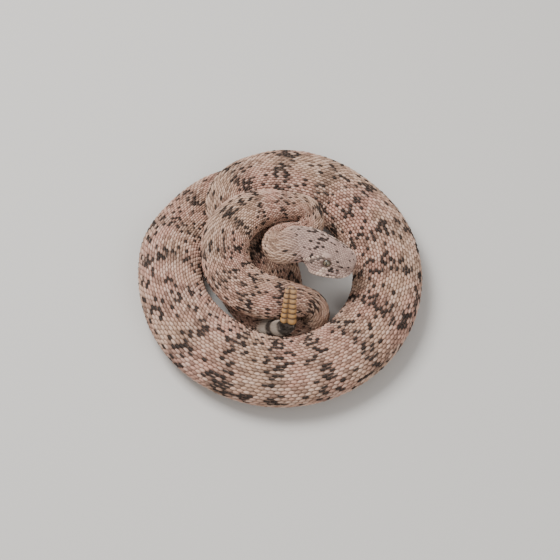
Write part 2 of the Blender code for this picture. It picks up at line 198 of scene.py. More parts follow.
# The route of the body's axis from the tail's end to the nape, one list for each length of the frame.
# Each point is x, y, z, half width and half height.
ROUTE = [
    ("tail", [
        (4.5, -37.8, 28.0, 4.5, 4.5),
        (3.5, -39.2, 24.2, 4.7, 4.7),
        (-1.0, -37.9, 20.4, 4.9, 4.9),
        (-5.5, -35.5, 14.6, 5.0, 4.9),
        (-11.0, -30.2, 9.6, 6.2, 5.2),
        (-16.0, -24.0, 6.5, 7.8, 5.2),
    ]),
    ("hind_body_inner", [
        pressed(-21.5, -16.5, 9.3),
        pressed(-26.2, -7.0, 10.4),
        pressed(-29.5, 2.5, 11.0),
        pressed(-29.5, 12.0, 11.5),
        pressed(-25.6, 20.7, 12.2),
        pressed(-18.3, 26.8, 12.8),
    ]),
    ("hind_body_turn", [
        pressed(-9.8, 32.3, 13.4),
        pressed(-4.3, 40.3, 14.0),
        pressed(-4.3, 51.2, 14.6),
        pressed(-10.4, 60.4, 15.9),
        pressed(-22.0, 64.7, 17.1),
    ]),
    ("ring_far_left", [
        pressed(-34.8, 61.6, 18.0),
        (-45.7, 53.7, 5.5, 18.6, 5.6),
        (-54.5, 43.3, 6.8, 18.9, 7.0),
        (-61.3, 31.7, 9.7, 19.2, 9.9),
        (-65.7, 19.0, 13.2, 19.4, 13.5),
    ]),
    ("ring_left", [(-66.6, 5.0, RING_AXIS, 19.5, RING_HALF_HEIGHT)]
        + ring_arc(188.0, 218.0, 3, (66.2, 63.8), (19.5, 21.8))),
    ("ring_near_left", ring_arc(232.0, 268.0, 3, (63.0, 64.0), (22.4, 21.7))),
    ("ring_near_right", ring_arc(286.0, 322.0, 3, (64.2, 64.5), (21.5, 21.2))),
    ("ring_right", ring_arc(340.0, 376.0, 3, (64.7, 65.0), (21.0, 20.9))),
    ("ring_far_right", ring_arc(394.0, 412.0, 2, (65.2, 65.3), (20.6, 20.2))
        + [(32.3, 57.3, 15.2, 20.1, 14.4)]),
    ("ring_far", [
        (22.0, 61.6, 18.0, 20.1, 12.5),
        (11.0, 64.0, 20.6, 19.8, 10.4),
        (-1.2, 65.3, 21.1, 19.2, 10.1),
        (-12.2, 64.0, 20.8, 17.6, 9.9),
    ]),
    ("crossing_bend", [
        (-21.3, 61.4, 20.5, 16.6, 9.5),
        (-27.9, 55.2, 20.1, 16.2, 9.0),
        (-30.2, 46.5, 19.6, 15.9, 8.4),
        (-28.0, 38.0, 18.9, 15.6, 7.7),
        (-21.5, 31.0, 18.4, 15.0, 7.1),
    ]),
    ("body_under_coil", [
        (-10.5, 21.5, 16.6, 14.3, 6.7),
        (-3.0, 10.0, 11.0, 13.6, 6.1),
        (0.5, -1.2, 6.3, 12.8, 5.8),
        (1.5, -10.5, 5.5, 11.8, 5.6),
        (2.3, -19.5, 5.2, 10.2, 5.3),
        (5.6, -27.6, 5.4, 9.0, 5.5),
    ]),
    ("fold", [
        (12.5, -30.8, 6.6, 8.4, 6.8),
        (18.6, -29.2, 8.8, 8.2, 8.2),
        (21.2, -25.6, 14.0, 8.4, 8.6),
        (18.8, -21.9, 19.2, 8.6, 8.6),
        (12.5, -20.5, 21.8, 9.3, 8.8),
    ]),
    ("fore_body_near", [
        (5.0, -20.3, 22.9, 11.6, 9.9),
        (-6.0, -19.0, 23.4, 13.4, 10.7),
        (-15.5, -16.0, 23.5, 14.3, 11.0),
        (-24.0, -10.8, 23.7, 14.6, 11.0),
    ]),
    ("fore_body_left", [
        (-30.5, -3.0, 24.7, 14.6, 11.0),
        (-33.5, 8.0, 28.7, 14.6, 11.0),
        (-32.0, 18.3, 33.9, 14.6, 10.7),
    ]),
    ("fore_body_far", [
        (-25.6, 26.8, 36.7, 14.0, 10.4),
        (-16.5, 33.0, 37.2, 12.8, 10.4),
        (-5.5, 35.7, 37.2, 10.7, 10.1),
        (3.6, 36.0, 37.2, 8.8, 9.2),
    ]),
    ("neck_bend", neck_arc((11.2, 27.8), 7.7, 7, (36.9, 30.5), (7.9, 7.3), (8.5, 7.3))),
    ("neck", [
        (4.9, 20.4, 30.2, 7.4, 7.3),
        (-0.2, 18.0, 31.2, 7.8, 7.5),
        (-2.2, 12.8, 34.6, 8.6, 7.8),
        (-1.8, 7.4, 39.2, 9.3, 8.0),
        (0.8, 4.1, 43.4, 10.2, 8.0),
        (5.2, 3.9, 46.2, 11.1, 7.8),
        (10.4, 4.7, 47.2, 11.7, 7.6),
    ]),
]
FLESH_NODES = [name for name, _ in ROUTE] + ["head"]

# Along the head from the nape: distance, half width, crown height, chin depth.
HEAD_STATIONS = [
    (0.0, 11.7, 7.6, 7.6),
    (2.5, 12.8, 7.8, 7.6),
    (5.5, 14.0, 8.1, 7.6),
    (9.0, 15.0, 8.4, 7.6),
    (12.5, 15.6, 8.6, 7.4),
    (16.0, 15.7, 8.5, 7.1),
    (19.0, 15.4, 8.3, 6.7),
    (22.0, 14.9, 7.8, 6.2),
    (25.0, 14.1, 7.0, 5.7),
    (28.0, 13.1, 6.2, 5.2),
    (31.0, 11.7, 5.4, 4.7),
    (33.5, 9.9, 4.6, 4.1),
    (35.3, 7.5, 3.7, 3.2),
    (36.5, 4.4, 2.3, 2.0),
]

# Half of the head's section from crown to chin: share of the half width behind the eyes,
# the same in front of them, where the face slopes out to the lips, and share of the height.
HEAD_SECTION = [
    ("crown", 0.0, 0.0, 1.0),
    ("crown_side", 0.42, 0.34, 0.99),
    ("brow", 0.68, 0.50, 0.87),
    ("temple", 0.85, 0.62, 0.50),
    ("cheek", 0.96, 0.80, 0.10),
    ("upper_lip", 1.0, 1.0, -0.22),
    ("mouth", 0.96, 0.96, -0.34),
    ("lower_lip", 0.93, 0.93, -0.46),
    ("jaw", 0.72, 0.72, -0.82),
    ("under_jaw", 0.36, 0.36, -0.98),
    ("chin", 0.0, 0.0, -1.0),
]
MOUTH_HEIGHT = -0.34


def ease(value):
    """A smooth step from 0 to 1."""
    value = np.clip(value, 0.0, 1.0)
    return value * value * (3.0 - 2.0 * value)


def bump(along, centre, reach):
    """1 at the centre, falling smoothly to 0 at the reach on either side."""
    return ease(1.0 - abs(along - centre) / reach)


def unit(rows):
    """Each row scaled to length 1."""
    return rows / np.maximum(np.linalg.norm(rows, axis=-1, keepdims=True), 1e-9)


def axis_curve(points):
    """A centripetal Catmull-Rom curve through the points, then smoothed."""
    ends = np.vstack([2 * points[0] - points[1], points, 2 * points[-1] - points[-2]])
    samples = []
    for i in range(len(points) - 1):
        p0, p1, p2, p3 = ends[i:i + 4]
        t1 = np.linalg.norm((p1 - p0)[:3]) ** 0.5
        t2 = t1 + np.linalg.norm((p2 - p1)[:3]) ** 0.5
        t3 = t2 + np.linalg.norm((p3 - p2)[:3]) ** 0.5
        for k in range(SAMPLES_PER_POINT):
            t = t1 + (t2 - t1) * k / SAMPLES_PER_POINT
            a1 = (t1 - t) / t1 * p0 + t / t1 * p1
            a2 = (t2 - t) / (t2 - t1) * p1 + (t - t1) / (t2 - t1) * p2
            a3 = (t3 - t) / (t3 - t2) * p2 + (t - t2) / (t3 - t2) * p3
            b1 = (t2 - t) / t2 * a1 + t / t2 * a2
            b2 = (t3 - t) / (t3 - t1) * a2 + (t - t1) / (t3 - t1) * a3
            samples.append((t2 - t) / (t2 - t1) * b1 + (t - t1) / (t2 - t1) * b2)
    samples.append(points[-1])
    path = np.array(samples)
    for _ in range(SMOOTHING_PASSES):
        inner = 0.25 * path[:-2] + 0.5 * path[1:-1] + 0.25 * path[2:]
        path = np.vstack([path[:1], inner, path[-1:]])
    return path


class Axis:
    """The body's axis by distance from the tail's end."""

    def __init__(self):
        path = axis_curve(np.array([point for _, group in ROUTE for point in group]))
        steps = np.linalg.norm(np.diff(path[:, :3], axis=0), axis=1)
        self.distance = np.concatenate([[0.0], np.cumsum(steps)])
        self.path = path
        self.length = float(self.distance[-1])
        self.tangents = unit(np.gradient(path[:, :3], self.distance, axis=0))

    def at(self, distance):
        """Centres, tangents, right and up directions, half widths and half heights at many distances."""
        columns = [np.interp(distance, self.distance, self.path[:, k]) for k in range(5)]
        along = [np.interp(distance, self.distance, self.tangents[:, k]) for k in range(3)]
        tangent = unit(np.stack(along, axis=-1))
        right = unit(np.cross(tangent, (0.0, 0.0, 1.0)))
        up = np.cross(right, tangent)
        return np.stack(columns[:3], axis=-1), tangent, right, up, columns[3], columns[4]


class HeadFrame:
    """Turns places along, right of and above the head's axis into the route's millimetres."""

    def __init__(self, axis):
        centre, tangent, _, _, _, _ = axis.at(np.array([axis.length]))
        self.start = centre[0]
        self.nape = tangent[0]
        self.forward = unit(np.array(HEAD_DIRECTION))

    def axes(self, along):
        turn = ease(np.asarray(along) / NAPE_LENGTH)[..., None]
        normal = unit(self.nape * (1.0 - turn) + self.forward * turn)
        level = unit(np.cross(normal, (0.0, 0.0, 1.0)))
        upright = np.cross(level, normal)
        roll = HEAD_ROLL * turn
        right = level * np.cos(roll) + upright * np.sin(roll)
        return right, upright * np.cos(roll) - level * np.sin(roll)

    def point(self, along, right, up):
        along = np.asarray(along)
        to_right, to_top = self.axes(along)
        right = np.asarray(right)[..., None]
        up = np.asarray(up)[..., None]
        return self.start + self.forward * along[..., None] + to_right * right + to_top * up


def body_outline(half_width, half_height):
    """Right half of the body's section from spine to belly: round above, squarer below."""
    angle = np.linspace(math.pi / 2.0, -math.pi / 2.0, HALF_POINTS)
    across = np.abs(np.cos(angle))
    tall = np.sin(angle)
    power = np.where(tall < 0.0, BELLY_POWER, 2.0)
    scale = (across ** power + np.abs(tall) ** power) ** (-1.0 / power)
    return across * scale * half_width, tall * scale * half_height


def head_size(along):
    """Half width, crown height and chin depth at a distance from the nape."""
    table = np.array(HEAD_STATIONS)
    return [float(np.interp(along, table[:, 0], table[:, k])) for k in (1, 2, 3)]


def head_half_section(along):
    """Right half of the head's section, crown to chin, as distances to the side and heights."""
    half_width, crown, chin = head_size(along)
    mouth_share = ease((along - JAW_CORNER) / 6.0)
    brow_share = bump(along, EYE_ALONG + 0.5, 6.5)
    snout_edge = ease((along - 22.0) / 6.0)
    forward_share = ease((along - FACE_START) / (EYE_ALONG - FACE_START))
    points = []
    for label, behind, before, tall in HEAD_SECTION:
        side = (behind + (before - behind) * forward_share) * half_width
        height = tall * (crown if tall > 0.0 else chin)
        if label == "brow":
            side += BROW_REACH * brow_share + 0.06 * half_width * snout_edge
            height += 0.55 * BROW_REACH * brow_share
        if label == "temple":
            side -= 0.35 * brow_share + 0.05 * half_width * snout_edge
        if label == "upper_lip":
            side += 0.25 * mouth_share
            height += 0.15 * mouth_share
        if label == "mouth":
            side -= MOUTH_DEPTH * mouth_share * min(1.0, half_width / 6.0)
        if label == "lower_lip":
            height -= 0.1 * mouth_share
        points.append((side, height))
    return np.array(points)


def head_control_row(along, shrink=1.0):
    """Points round the head for the smooth surface, from the round nape to the head's own section."""
    station = min(max(along, 0.0), HEAD_STATIONS[-1][0])
    half = head_half_section(station)
    mirrored = half[-2:0:-1] * (-1.0, 1.0)
    outline = np.vstack([half, mirrored])
    half_width, crown, chin = head_size(station)
    angle = math.pi / 2.0 - 2.0 * math.pi * np.arange(len(outline)) / len(outline)
    power = np.where(np.sin(angle) < 0.0, BELLY_POWER, 2.0)
    scale = (np.abs(np.cos(angle)) ** power + np.abs(np.sin(angle)) ** power) ** (-1.0 / power)
    tall = np.where(np.sin(angle) > 0.0, crown, chin)
    rounded = np.stack([np.cos(angle) * scale * half_width, np.sin(angle) * scale * tall], axis=-1)
    blend = ease(station / 6.0)
    flat = (rounded * (1.0 - blend) + outline * blend) * shrink
    return np.column_stack([np.full(len(flat), along), flat])


def spline_weights(part):
    """Weights of four neighbouring control points on a smooth cubic surface."""
    return [
        (1.0 - part) ** 3 / 6.0,
        (3.0 * part ** 3 - 6.0 * part ** 2 + 4.0) / 6.0,
        (-3.0 * part ** 3 + 3.0 * part ** 2 + 3.0 * part + 1.0) / 6.0,
        part ** 3 / 6.0,
    ]


def head_rows():
    """Rows of the head's smooth surface from nape to snout: along, side and height for the right half."""
    alongs = [-5.0, -2.5] + [row[0] for row in HEAD_STATIONS]
    control = [head_control_row(along) for along in alongs]
    last = HEAD_STATIONS[-1][0]
    control += [head_control_row(last + 0.25, 0.5)] + [head_control_row(last + 0.3, 0.0)] * 3
    control = np.array(control)
    count = control.shape[1]
    place = np.linspace(0.0, count / 2.0, HALF_POINTS)
    index = np.floor(place).astype(int)
    rows = []
    for i in range(1, len(control) - 2):
        for step in range(HEAD_STEPS):
            weights = spline_weights(step / HEAD_STEPS)
            ring = sum(weight * control[i - 1 + k] for k, weight in enumerate(weights))
            around = spline_weights((place - index)[:, None])
            rows.append(sum(weight * ring[(index - 1 + k) % count] for k, weight in enumerate(around)))
    return rows


def evened(sides, heights):
    """A half section resampled to evenly spaced points, with its length."""
    run = np.concatenate([[0.0], np.cumsum(np.hypot(np.diff(sides), np.diff(heights)))])
    even = np.linspace(0.0, run[-1], HALF_POINTS)
    return np.interp(even, run, sides), np.interp(even, run, heights), float(run[-1])


class Sheet:
    """The skin's surface on a grid of distance from the tail's end and share of the girth.

    The share runs from -0.5 to 0.5, with 0 on the spine or crown, the right side positive,
    and both ends under the belly."""

    def __init__(self, depth):
        self.axis = Axis()
        self.head = HeadFrame(self.axis)
        self.shares = np.linspace(-0.5, 0.5, 2 * HALF_POINTS - 1)
        points, tangents, girths, distances = self.body_rows(depth)
        self.body_count = len(distances)
        self.add_head(points, tangents, girths, distances)
        self.points = np.array(points)
        self.girths = np.array(girths)
        self.distance = np.array(distances)
        self.set_normals(np.array(tangents))
        self.shape_head(depth)

    def body_rows(self, depth):
        distances = np.arange(0.0, self.axis.length - 0.5 * BODY_STEP, BODY_STEP)
        centre, tangent, right, up, half_width, half_height = self.axis.at(distances)
        points = []
        girths = []
        for i in range(len(distances)):
            girth = 2.0 * math.pi * math.sqrt((half_width[i] ** 2 + half_height[i] ** 2) / 2.0)
            inset = depth * size_share(girth)
            sides, heights = body_outline(half_width[i] - inset, half_height[i] - inset)
            sides, heights, run = evened(sides, heights)
            sides = np.concatenate([-sides[:0:-1], sides])[:, None]
            heights = np.concatenate([heights[:0:-1], heights])[:, None]
            row = centre[i] + right[i] * sides + up[i] * heights
            row[:, 2] = np.maximum(row[:, 2], inset)
            points.append(row)
            girths.append(2.0 * run)
        return points, list(tangent), girths, list(distances)

    def add_head(self, points, tangents, girths, distances):
        """Adds the head's rows, spaced by the mean length of surface between them."""
        self.head_alongs = []
        self.mouth_shares = []
        for row in head_rows():
            along = float(row[:, 0].mean())
            if along < 0.05:
                continue
            sides, heights, run = evened(row[:, 1], row[:, 2])
            chin = head_size(min(along, HEAD_STATIONS[-1][0]))[2]
            even = np.linspace(0.0, 0.5, HALF_POINTS)
            self.mouth_shares.append(float(np.interp(-MOUTH_HEIGHT * chin, -heights, even)))
            sides = np.concatenate([-sides[:0:-1], sides])
            heights = np.concatenate([heights[:0:-1], heights])
            ring = self.head.point(np.full(len(sides), along), sides, heights)
            step = float(np.linalg.norm(ring - points[-1], axis=1).mean())
            distances.append(distances[-1] + max(step, 0.001))
            points.append(ring)
            tangents.append(self.head.forward)
            girths.append(2.0 * run)
            self.head_alongs.append(along)

    def set_normals(self, tangents):
        """Outward directions: square to the section on the body, square to the surface on the head."""
        across = np.gradient(self.points, axis=1)
        across[:, 0] = across[:, 1]
        across[:, -1] = across[:, -2]
        along = np.gradient(self.points, axis=0)
        slope = np.clip((np.arange(len(self.points)) - self.body_count) / 20.0, 0.0, 1.0)[:, None, None]
        normals = unit(np.cross(across, tangents[:, None, :] * (1.0 - slope) + unit(along) * slope))
        normals[-1] = self.head.forward
        normals[:, 0] = unit(normals[:, 0] + normals[:, -1])
        normals[:, -1] = normals[:, 0]
        self.normals = normals

    def shape_head(self, depth):
        """Sinks the head to the coat's depth, and shapes the rims of the eyes, pits and nostrils."""
        first = self.body_count
        points = self.points[first:]
        normals = self.normals[first:]
        inset = depth * size_share(self.girths[first - 1])
        lift = np.full(points.shape[:2], -inset)
        self.openings = []
        self.eye_axes = []
        for side in ("right", "left"):
            sign = 1.0 if side == "right" else -1.0
            low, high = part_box("eye_" + side)
            centre = to_route((low + high) / 2.0)
            away = points - centre
            nearest = np.unravel_index(np.linalg.norm(away, axis=2).argmin(), lift.shape)
            outward = normals[nearest]
            self.eye_axes.append(outward)
            depth_out = away @ outward
            beside = np.linalg.norm(away - depth_out[..., None] * outward, axis=2)
            beside = np.where(depth_out < 0.0, 9.0, beside)
            lift += LID_HEIGHT * np.exp(-((beside - EYE_OPENING - LID_PLACE) / LID_WIDTH) ** 2)
            lift -= SOCKET_DEPTH * ease((EYE_OPENING - beside) / SOCKET_EDGE)
            self.openings.append((centre, math.hypot(EYE_OPENING + 0.75, depth_out[nearest])))
            for along, share, depth_in, wide in FACE_OPENINGS:
                half = head_half_section(along)
                crown = head_size(along)[1]
                width = float(np.interp(-share * crown, -half[:, 1], half[:, 0]))
                spot = self.head.point(along, sign * width, share * crown)
                reach = np.linalg.norm(points - spot, axis=2)
                reach = np.sqrt(np.maximum(reach ** 2 - 0.15, 0.0))
                lift -= depth_in * np.exp(-(reach / wide) ** 2)
                lift += OPENING_RIM * np.exp(-((reach - 1.55 * wide) / 0.3) ** 2)
                self.openings.append((spot, 1.25 * wide))
        shares = np.abs(self.shares)[None, :]
        mouth = np.array(self.mouth_shares)[:, None]
        away = (shares - mouth) * self.girths[first:, None]
        open_part = ease((np.array(self.head_alongs) - JAW_CORNER) / 3.0)[:, None]
        lift -= 0.5 * open_part * np.exp(-(away / 0.35) ** 2)
        fade = ease(np.array(self.head_alongs) / 1.0)[:, None]
        self.points[first:] = points + normals * (lift * fade - inset * (1.0 - fade))[..., None]

    def at(self, distance, share, height):
        """Places in metres over the surface, by distance, share of the girth and height above the skin."""
        last_row = len(self.distance) - 2
        row = np.interp(distance, self.distance, np.arange(len(self.distance)))
        row = row + np.minimum(distance, 0.0) / BODY_STEP
        low_row = np.clip(np.floor(row).astype(int), 0, last_row)
        row_part = (row - low_row)[..., None]
        columns = len(self.shares) - 1
        column = np.mod((share + 0.5) * columns, columns)
        low_column = np.clip(np.floor(column).astype(int), 0, columns - 1)
        column_part = (column - low_column)[..., None]
        found = []
        for grid in (self.points, self.normals):
            sides = []
            for row_index in (low_row, low_row + 1):
                left = grid[row_index, low_column] * (1 - column_part)
                sides.append(left + grid[row_index, low_column + 1] * column_part)
            found.append(sides[0] * (1 - row_part) + sides[1] * row_part)
        place = found[0] + unit(found[1]) * height[..., None]
        place[..., 2] = np.maximum(place[..., 2], 0.0)
        return to_metres(place)

    def girth_at(self, distance):
        return np.interp(distance, self.distance, self.girths)

    def head_distance(self, along):
        return np.interp(along, self.head_alongs, self.distance[self.body_count:])

    def along_at(self, distance):
        """Distance from the nape, negative on the body; along the head's axis on the head."""
        nape = self.distance[self.body_count]
        on_head = np.interp(distance, self.distance[self.body_count:], self.head_alongs)
        return np.where(distance < nape, distance - nape, on_head)

    def mouth_share_at(self, distance):
        return np.interp(distance, self.distance[self.body_count:], self.mouth_shares)


def size_share(girth):
    """How large scales are for the girth, as a share of those on the ring."""
    return (girth / RING_GIRTH) ** SIZE_POWER


def to_metres(points):
    """From the route's millimetres to metres, with the coil's box centred on the origin."""
    return (points - np.array([*BOX_CENTRE, 0.0])) * MM


def to_route(point):
    return np.array(point) / MM + np.array([*BOX_CENTRE, 0.0])


@functools.lru_cache
def sheet_for(depth):
    return Sheet(depth / MM)


def band_number(distance):
    """How many dark bands lie between the tail's end and each distance, as a running number."""
    distance = np.asarray(distance)
    ring = np.minimum(distance, RING_END) / BAND_SPACING
    return ring + np.maximum(distance - RING_END, 0.0) / FORE_BAND_SPACING


def bake_place(sheet, distance, share, strip=None):
    """Unwraps the skin into four strips for the bake: three lengths of the body, and the head larger."""
    nape = sheet.distance[sheet.body_count]
    strip_length = nape / BODY_STRIPS
    if strip is None:
        strip = bake_strip(sheet, distance)
    on_head = 0.55 * (distance - nape) / (sheet.distance[-1] - nape)
    along = np.where(strip == BODY_STRIPS, on_head, (distance - strip * strip_length) / strip_length)
    return np.stack([0.01 + 0.98 * along, (strip + 0.5 + 0.94 * share) / (BODY_STRIPS + 1.0)], axis=-1)


def bake_strip(sheet, distance):
    nape = sheet.distance[sheet.body_count]
    strip = np.clip(np.floor(distance / (nape / BODY_STRIPS)), 0, BODY_STRIPS - 1)
    return np.where(distance >= nape, BODY_STRIPS, strip)


class Socket:
    """One output of a shader node, which Python's operators turn into Math nodes."""

    def __init__(self, graph, output):
        self.graph = graph
        self.output = output

    def maths(self, operation, first, second=0.0, third=0.0):
        node = self.graph.add("ShaderNodeMath", {"operation": operation}, {0: first, 1: second, 2: third})
        return Socket(self.graph, node.outputs[0])

    def __add__(self, other):
        return self.maths("ADD", self, other)

    def __radd__(self, other):
        return self.maths("ADD", other, self)

    def __sub__(self, other):
        return self.maths("SUBTRACT", self, other)

    def __rsub__(self, other):
        return self.maths("SUBTRACT", other, self)

    def __mul__(self, other):
        return self.maths("MULTIPLY", self, other)

    def __rmul__(self, other):
        return self.maths("MULTIPLY", other, self)

    def __truediv__(self, other):
        return self.maths("DIVIDE", self, other)

    def __abs__(self):
        return self.maths("ABSOLUTE", self)

    def most(self, other):
        return self.maths("MAXIMUM", self, other)

    def near_whole(self):
        """Distance to the nearest whole number."""
        return self.maths("PINGPONG", self, 0.5)

    def fraction(self):
        return self.maths("FRACT", self)

    def under(self, other):
        """1 where this is the smaller of the two, 0 elsewhere."""
        return self.maths("LESS_THAN", self, other)

    def within(self, centre, reach):
        """1 at the centre, falling evenly to 0 at the reach on either side."""
        return (1.0 - abs(self - centre) / reach).most(0.0)

    def step(self, start, end):
        """0 before start, 1 past end, smooth between."""
        settings = {"interpolation_type": "SMOOTHSTEP"}
        sockets = {"Value": self, "From Min": start, "From Max": end}
        node = self.graph.add("ShaderNodeMapRange", settings, sockets)
        return Socket(self.graph, node.outputs["Result"])


class Graph:
    """The nodes of one material, with a Principled shader at their end."""

    def __init__(self, name, settings):
        self.material = bpy.data.materials.new(name)
        self.material.use_nodes = True
        self.tree = self.material.node_tree
        self.shader = self.tree.nodes["Principled BSDF"]
        for socket, value in settings.items():
            self.shader.inputs[socket].default_value = value

    def add(self, kind, settings=None, sockets=None):
        """A node of this kind, its settings set first, then its sockets' values or links."""
        node = self.tree.nodes.new(kind)
        for key, value in (settings or {}).items():
            setattr(node, key, value)
        for key, value in (sockets or {}).items():
            if isinstance(value, Socket):
                self.tree.links.new(value.output, node.inputs[key])
            else:
                node.inputs[key].default_value = value
        return node

    def map(self, name):
        """Both numbers of a UV map, and the map's vector."""
        uv = self.add("ShaderNodeUVMap", {"uv_map": name}).outputs[0]
        parts = self.add("ShaderNodeSeparateXYZ", None, {0: Socket(self, uv)})
        return Socket(self, parts.outputs[0]), Socket(self, parts.outputs[1]), Socket(self, uv)

    def attribute(self, name):
        return Socket(self, self.add("ShaderNodeAttribute", {"attribute_name": name}).outputs["Fac"])

    def noise(self, vector, scale, detail=2.0):
        sockets = {"Vector": vector, "Scale": scale, "Detail": detail}
        return Socket(self, self.add("ShaderNodeTexNoise", None, sockets).outputs["Fac"])

    def mix(self, share, first, second):
        """A colour between two colours."""
        sockets = {"Factor": share, 6: colour_of(first), 7: colour_of(second)}
        node = self.add("ShaderNodeMix", {"data_type": "RGBA"}, sockets)
        return Socket(self, node.outputs[2])

    def feed(self, socket, value):
        self.tree.links.new(value.output, self.shader.inputs[socket])

    def bump(self, height, distance, strength):
        sockets = {"Height": height, "Distance": distance, "Strength": strength}
        node = self.add("ShaderNodeBump", None, sockets)
        self.feed("Normal", Socket(self, node.outputs["Normal"]))


def colour_of(value):
    """A colour as a socket's value, or the link itself."""
    if isinstance(value, Socket):
        return value
    return (*value, 1.0)


def head_share(graph):
    """0 on the body, 1 on the head."""
    return graph.attribute("along").step(*HEAD_FADE)


def markings(graph, colours):
    """Ground colour and dark marks by place on the body, the same on skin and scales."""
    distance, _, place = graph.map("Place")
    along = graph.attribute("along")
    share = abs(graph.attribute("share"))
    draw = graph.attribute("draw")
    second_draw = (draw * 37.0).fraction()
    broad = graph.noise(place, 30.0)
    cluster = graph.noise(place, 130.0, 2.0)
    wander = graph.noise(place, 40.0, 1.0)
    on_head = head_share(graph)
    on_tail = 1.0 - (distance / MM).step(*TAIL_FADE)

    band_place = graph.attribute("band") + (wander - 0.5) * 0.4
    back = 1.0 - share.step(0.24, 0.33)
    bands = band_place.near_whole().within(0.0, 0.25).step(0.0, 0.6) * back * (1.0 - along.step(-52.0, -30.0))
    patches = (band_place + 0.5).near_whole().within(0.0, 0.16) * share.within(0.21, 0.07)
    clumps = cluster.step(0.42, 0.60)
    chance = bands * (0.11 + 0.38 * clumps) + patches * clumps * 0.45 + 0.075 * back
    chance = chance * (1.0 - on_head) + 0.12 * on_head
    mark = draw.under(chance)

    ground = graph.mix(broad.step(0.35, 0.65), colours.pink, colours.tan)
    ground = graph.mix(second_draw.step(0.45, 1.0) * 0.4, ground, colours.cream)
    ground = graph.mix((1.0 - second_draw.step(0.0, 0.45)) * 0.6, ground, colours.brown)
    ground = graph.mix(bands * 0.30, ground, colours.brown)
    ground = graph.mix(share.step(0.31, 0.38) * 0.8, ground, colours.belly)
    ground = graph.mix(on_head * 0.72, ground, colours.head)
    ground, mark = face_marks(graph, colours, ground, mark)
    millimetres = distance / MM + (share - 0.25) * 5.0
    rings = (1.0 - millimetres.step(6.4, 7.8)).most(millimetres.within(14.6, 3.4).step(0.0, 0.5))
    rings = rings * (0.55 + 0.45 * cluster.step(0.35, 0.5)).most(1.0 - draw.step(0.5, 0.8))
    ground = graph.mix(on_tail, ground, colours.tail)
    mark = mark * (1.0 - on_tail) + rings * on_tail
    return ground, mark, second_draw


def face_marks(graph, colours, ground, mark):
    """The stripes beside each eye, painted shade in the heat pit and the pale edge of the lip."""
    along = graph.attribute("along")
    share = abs(graph.attribute("share"))
    on_face = along.step(1.0, 4.0)
    behind = share - (0.230 - (along - 3.1) * 0.0079)
    stripe = behind.within(0.0, 0.018).step(0.05, 0.5) * on_face * (1.0 - along.step(17.2, 18.4))
    line = behind.within(-0.024, 0.013).step(0.1, 0.6) * on_face * (1.0 - along.step(16.2, 18.0))
    slope = along - (22.9 - (share - 0.133) * 36.0)
    front = slope.within(0.0, 1.9).step(0.0, 0.5) * share.step(0.135, 0.155)
    lip = share.within(0.275, 0.035).step(0.1, 0.6) * on_face
    ground = graph.mix((line * 0.9).most(front * 0.8).most(lip * 0.7), ground, colours.cream)
    ground = graph.mix(stripe * 0.9, ground, colours.dusk)
    pale = stripe.most(front).most(line)
    # Painted shade: each heat pit's hollow is laid near-black.
    pit = along.within(PIT_ALONG - 0.5, 1.5) * share.within(0.145, 0.026)
    return ground, (mark * (1.0 - pale)).most(pit.step(0.25, 0.5) * 0.85)


def scale_material(name, colours, keeled=True):
    """Dry keeled scales: a painted highlight along the keels, painted shade at the roots and edges, and
    near-black marks.
    """
    graph = Graph(name, {"Roughness": 0.6, "Specular IOR Level": 0.25})
    length, across, _ = graph.map("Scale")
    ground, mark, draw = markings(graph, colours)
    centre = 1.0 - abs(across * 2.0 - 1.0)
    # Painted shade: darker towards each scale's root, where the scale before it lies over it.
    root = 1.0 - length.step(0.10, 0.60)
    on_head = head_share(graph)
    # Painted shade: darker along each scale's sides, in the gaps between neighbours.
    edge = 1.0 - centre.step(0.0, 0.55)
    contrast = 1.0 - 0.2 * on_head
    # The painted shade at roots and edges is laid in brown, weaker on the head.
    shade = (root * 0.95).most(edge * 0.85) * contrast if keeled else root * 0.4
    tone = graph.mix(shade, ground, colours.brown)
    if keeled:
        # Painted highlight: cream along each keel, from the middle of the scale to its tip, stronger on some
        # scales than others.
        keel = centre.step(0.72, 1.0) * length.step(0.25, 0.6)
        tone = graph.mix(keel * (0.05 + 0.65 * draw * draw) * contrast, tone, colours.cream)
    inner = 0.08 + draw * 0.42
    spot = centre.step(inner, 0.25 + inner) * length.step(0.15, 0.45)
    tone = graph.mix(mark * (0.2 + 0.78 * spot), tone, colours.dark)
    coordinates = graph.add("ShaderNodeTexCoord").outputs["Object"]
    grain = graph.noise(Socket(graph, coordinates), 2600.0, 2.0)
    tone = graph.mix((grain - 0.4) * 0.3, tone, colours.brown)
    graph.feed("Base Color", tone)
    graph.feed("Roughness", 0.52 + grain * 0.2)
    graph.bump(grain, 0.00006, 0.6)
    return graph.material


def skin_material(colours):
    """The bare skin between the scales: the same markings, duller, and darkened as painted shade for the gaps
    between scales.
    """
    graph = Graph("skin_between_scales", {"Specular IOR Level": 0.2, "Roughness": 0.75})
    ground, mark, _ = markings(graph, colours)
    coordinates = Socket(graph, graph.add("ShaderNodeTexCoord").outputs["Object"])
    grain = graph.noise(coordinates, 1800.0, 3.0)
    on_head = head_share(graph)
    # Painted shade: the skin is laid close to brown for the gaps between the scales, a little less on the
    # head.
    tone = graph.mix(0.9 - 0.2 * on_head, ground, colours.brown)
    tone = graph.mix(mark * 0.8, tone, colours.dark)
    tone = graph.mix(grain * 0.3, tone, colours.dark)
    graph.feed("Base Color", tone)
    graph.bump(grain, 0.0001, 0.7)
    return graph.material


def link_piece(name, mesh, material):
    """Puts a finished mesh in the scene, riding on the one body."""
    mesh.materials.append(material)
    item = bpy.data.objects.new(name, mesh)
    bpy.context.collection.objects.link(item)
    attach(item, "root")
    return item


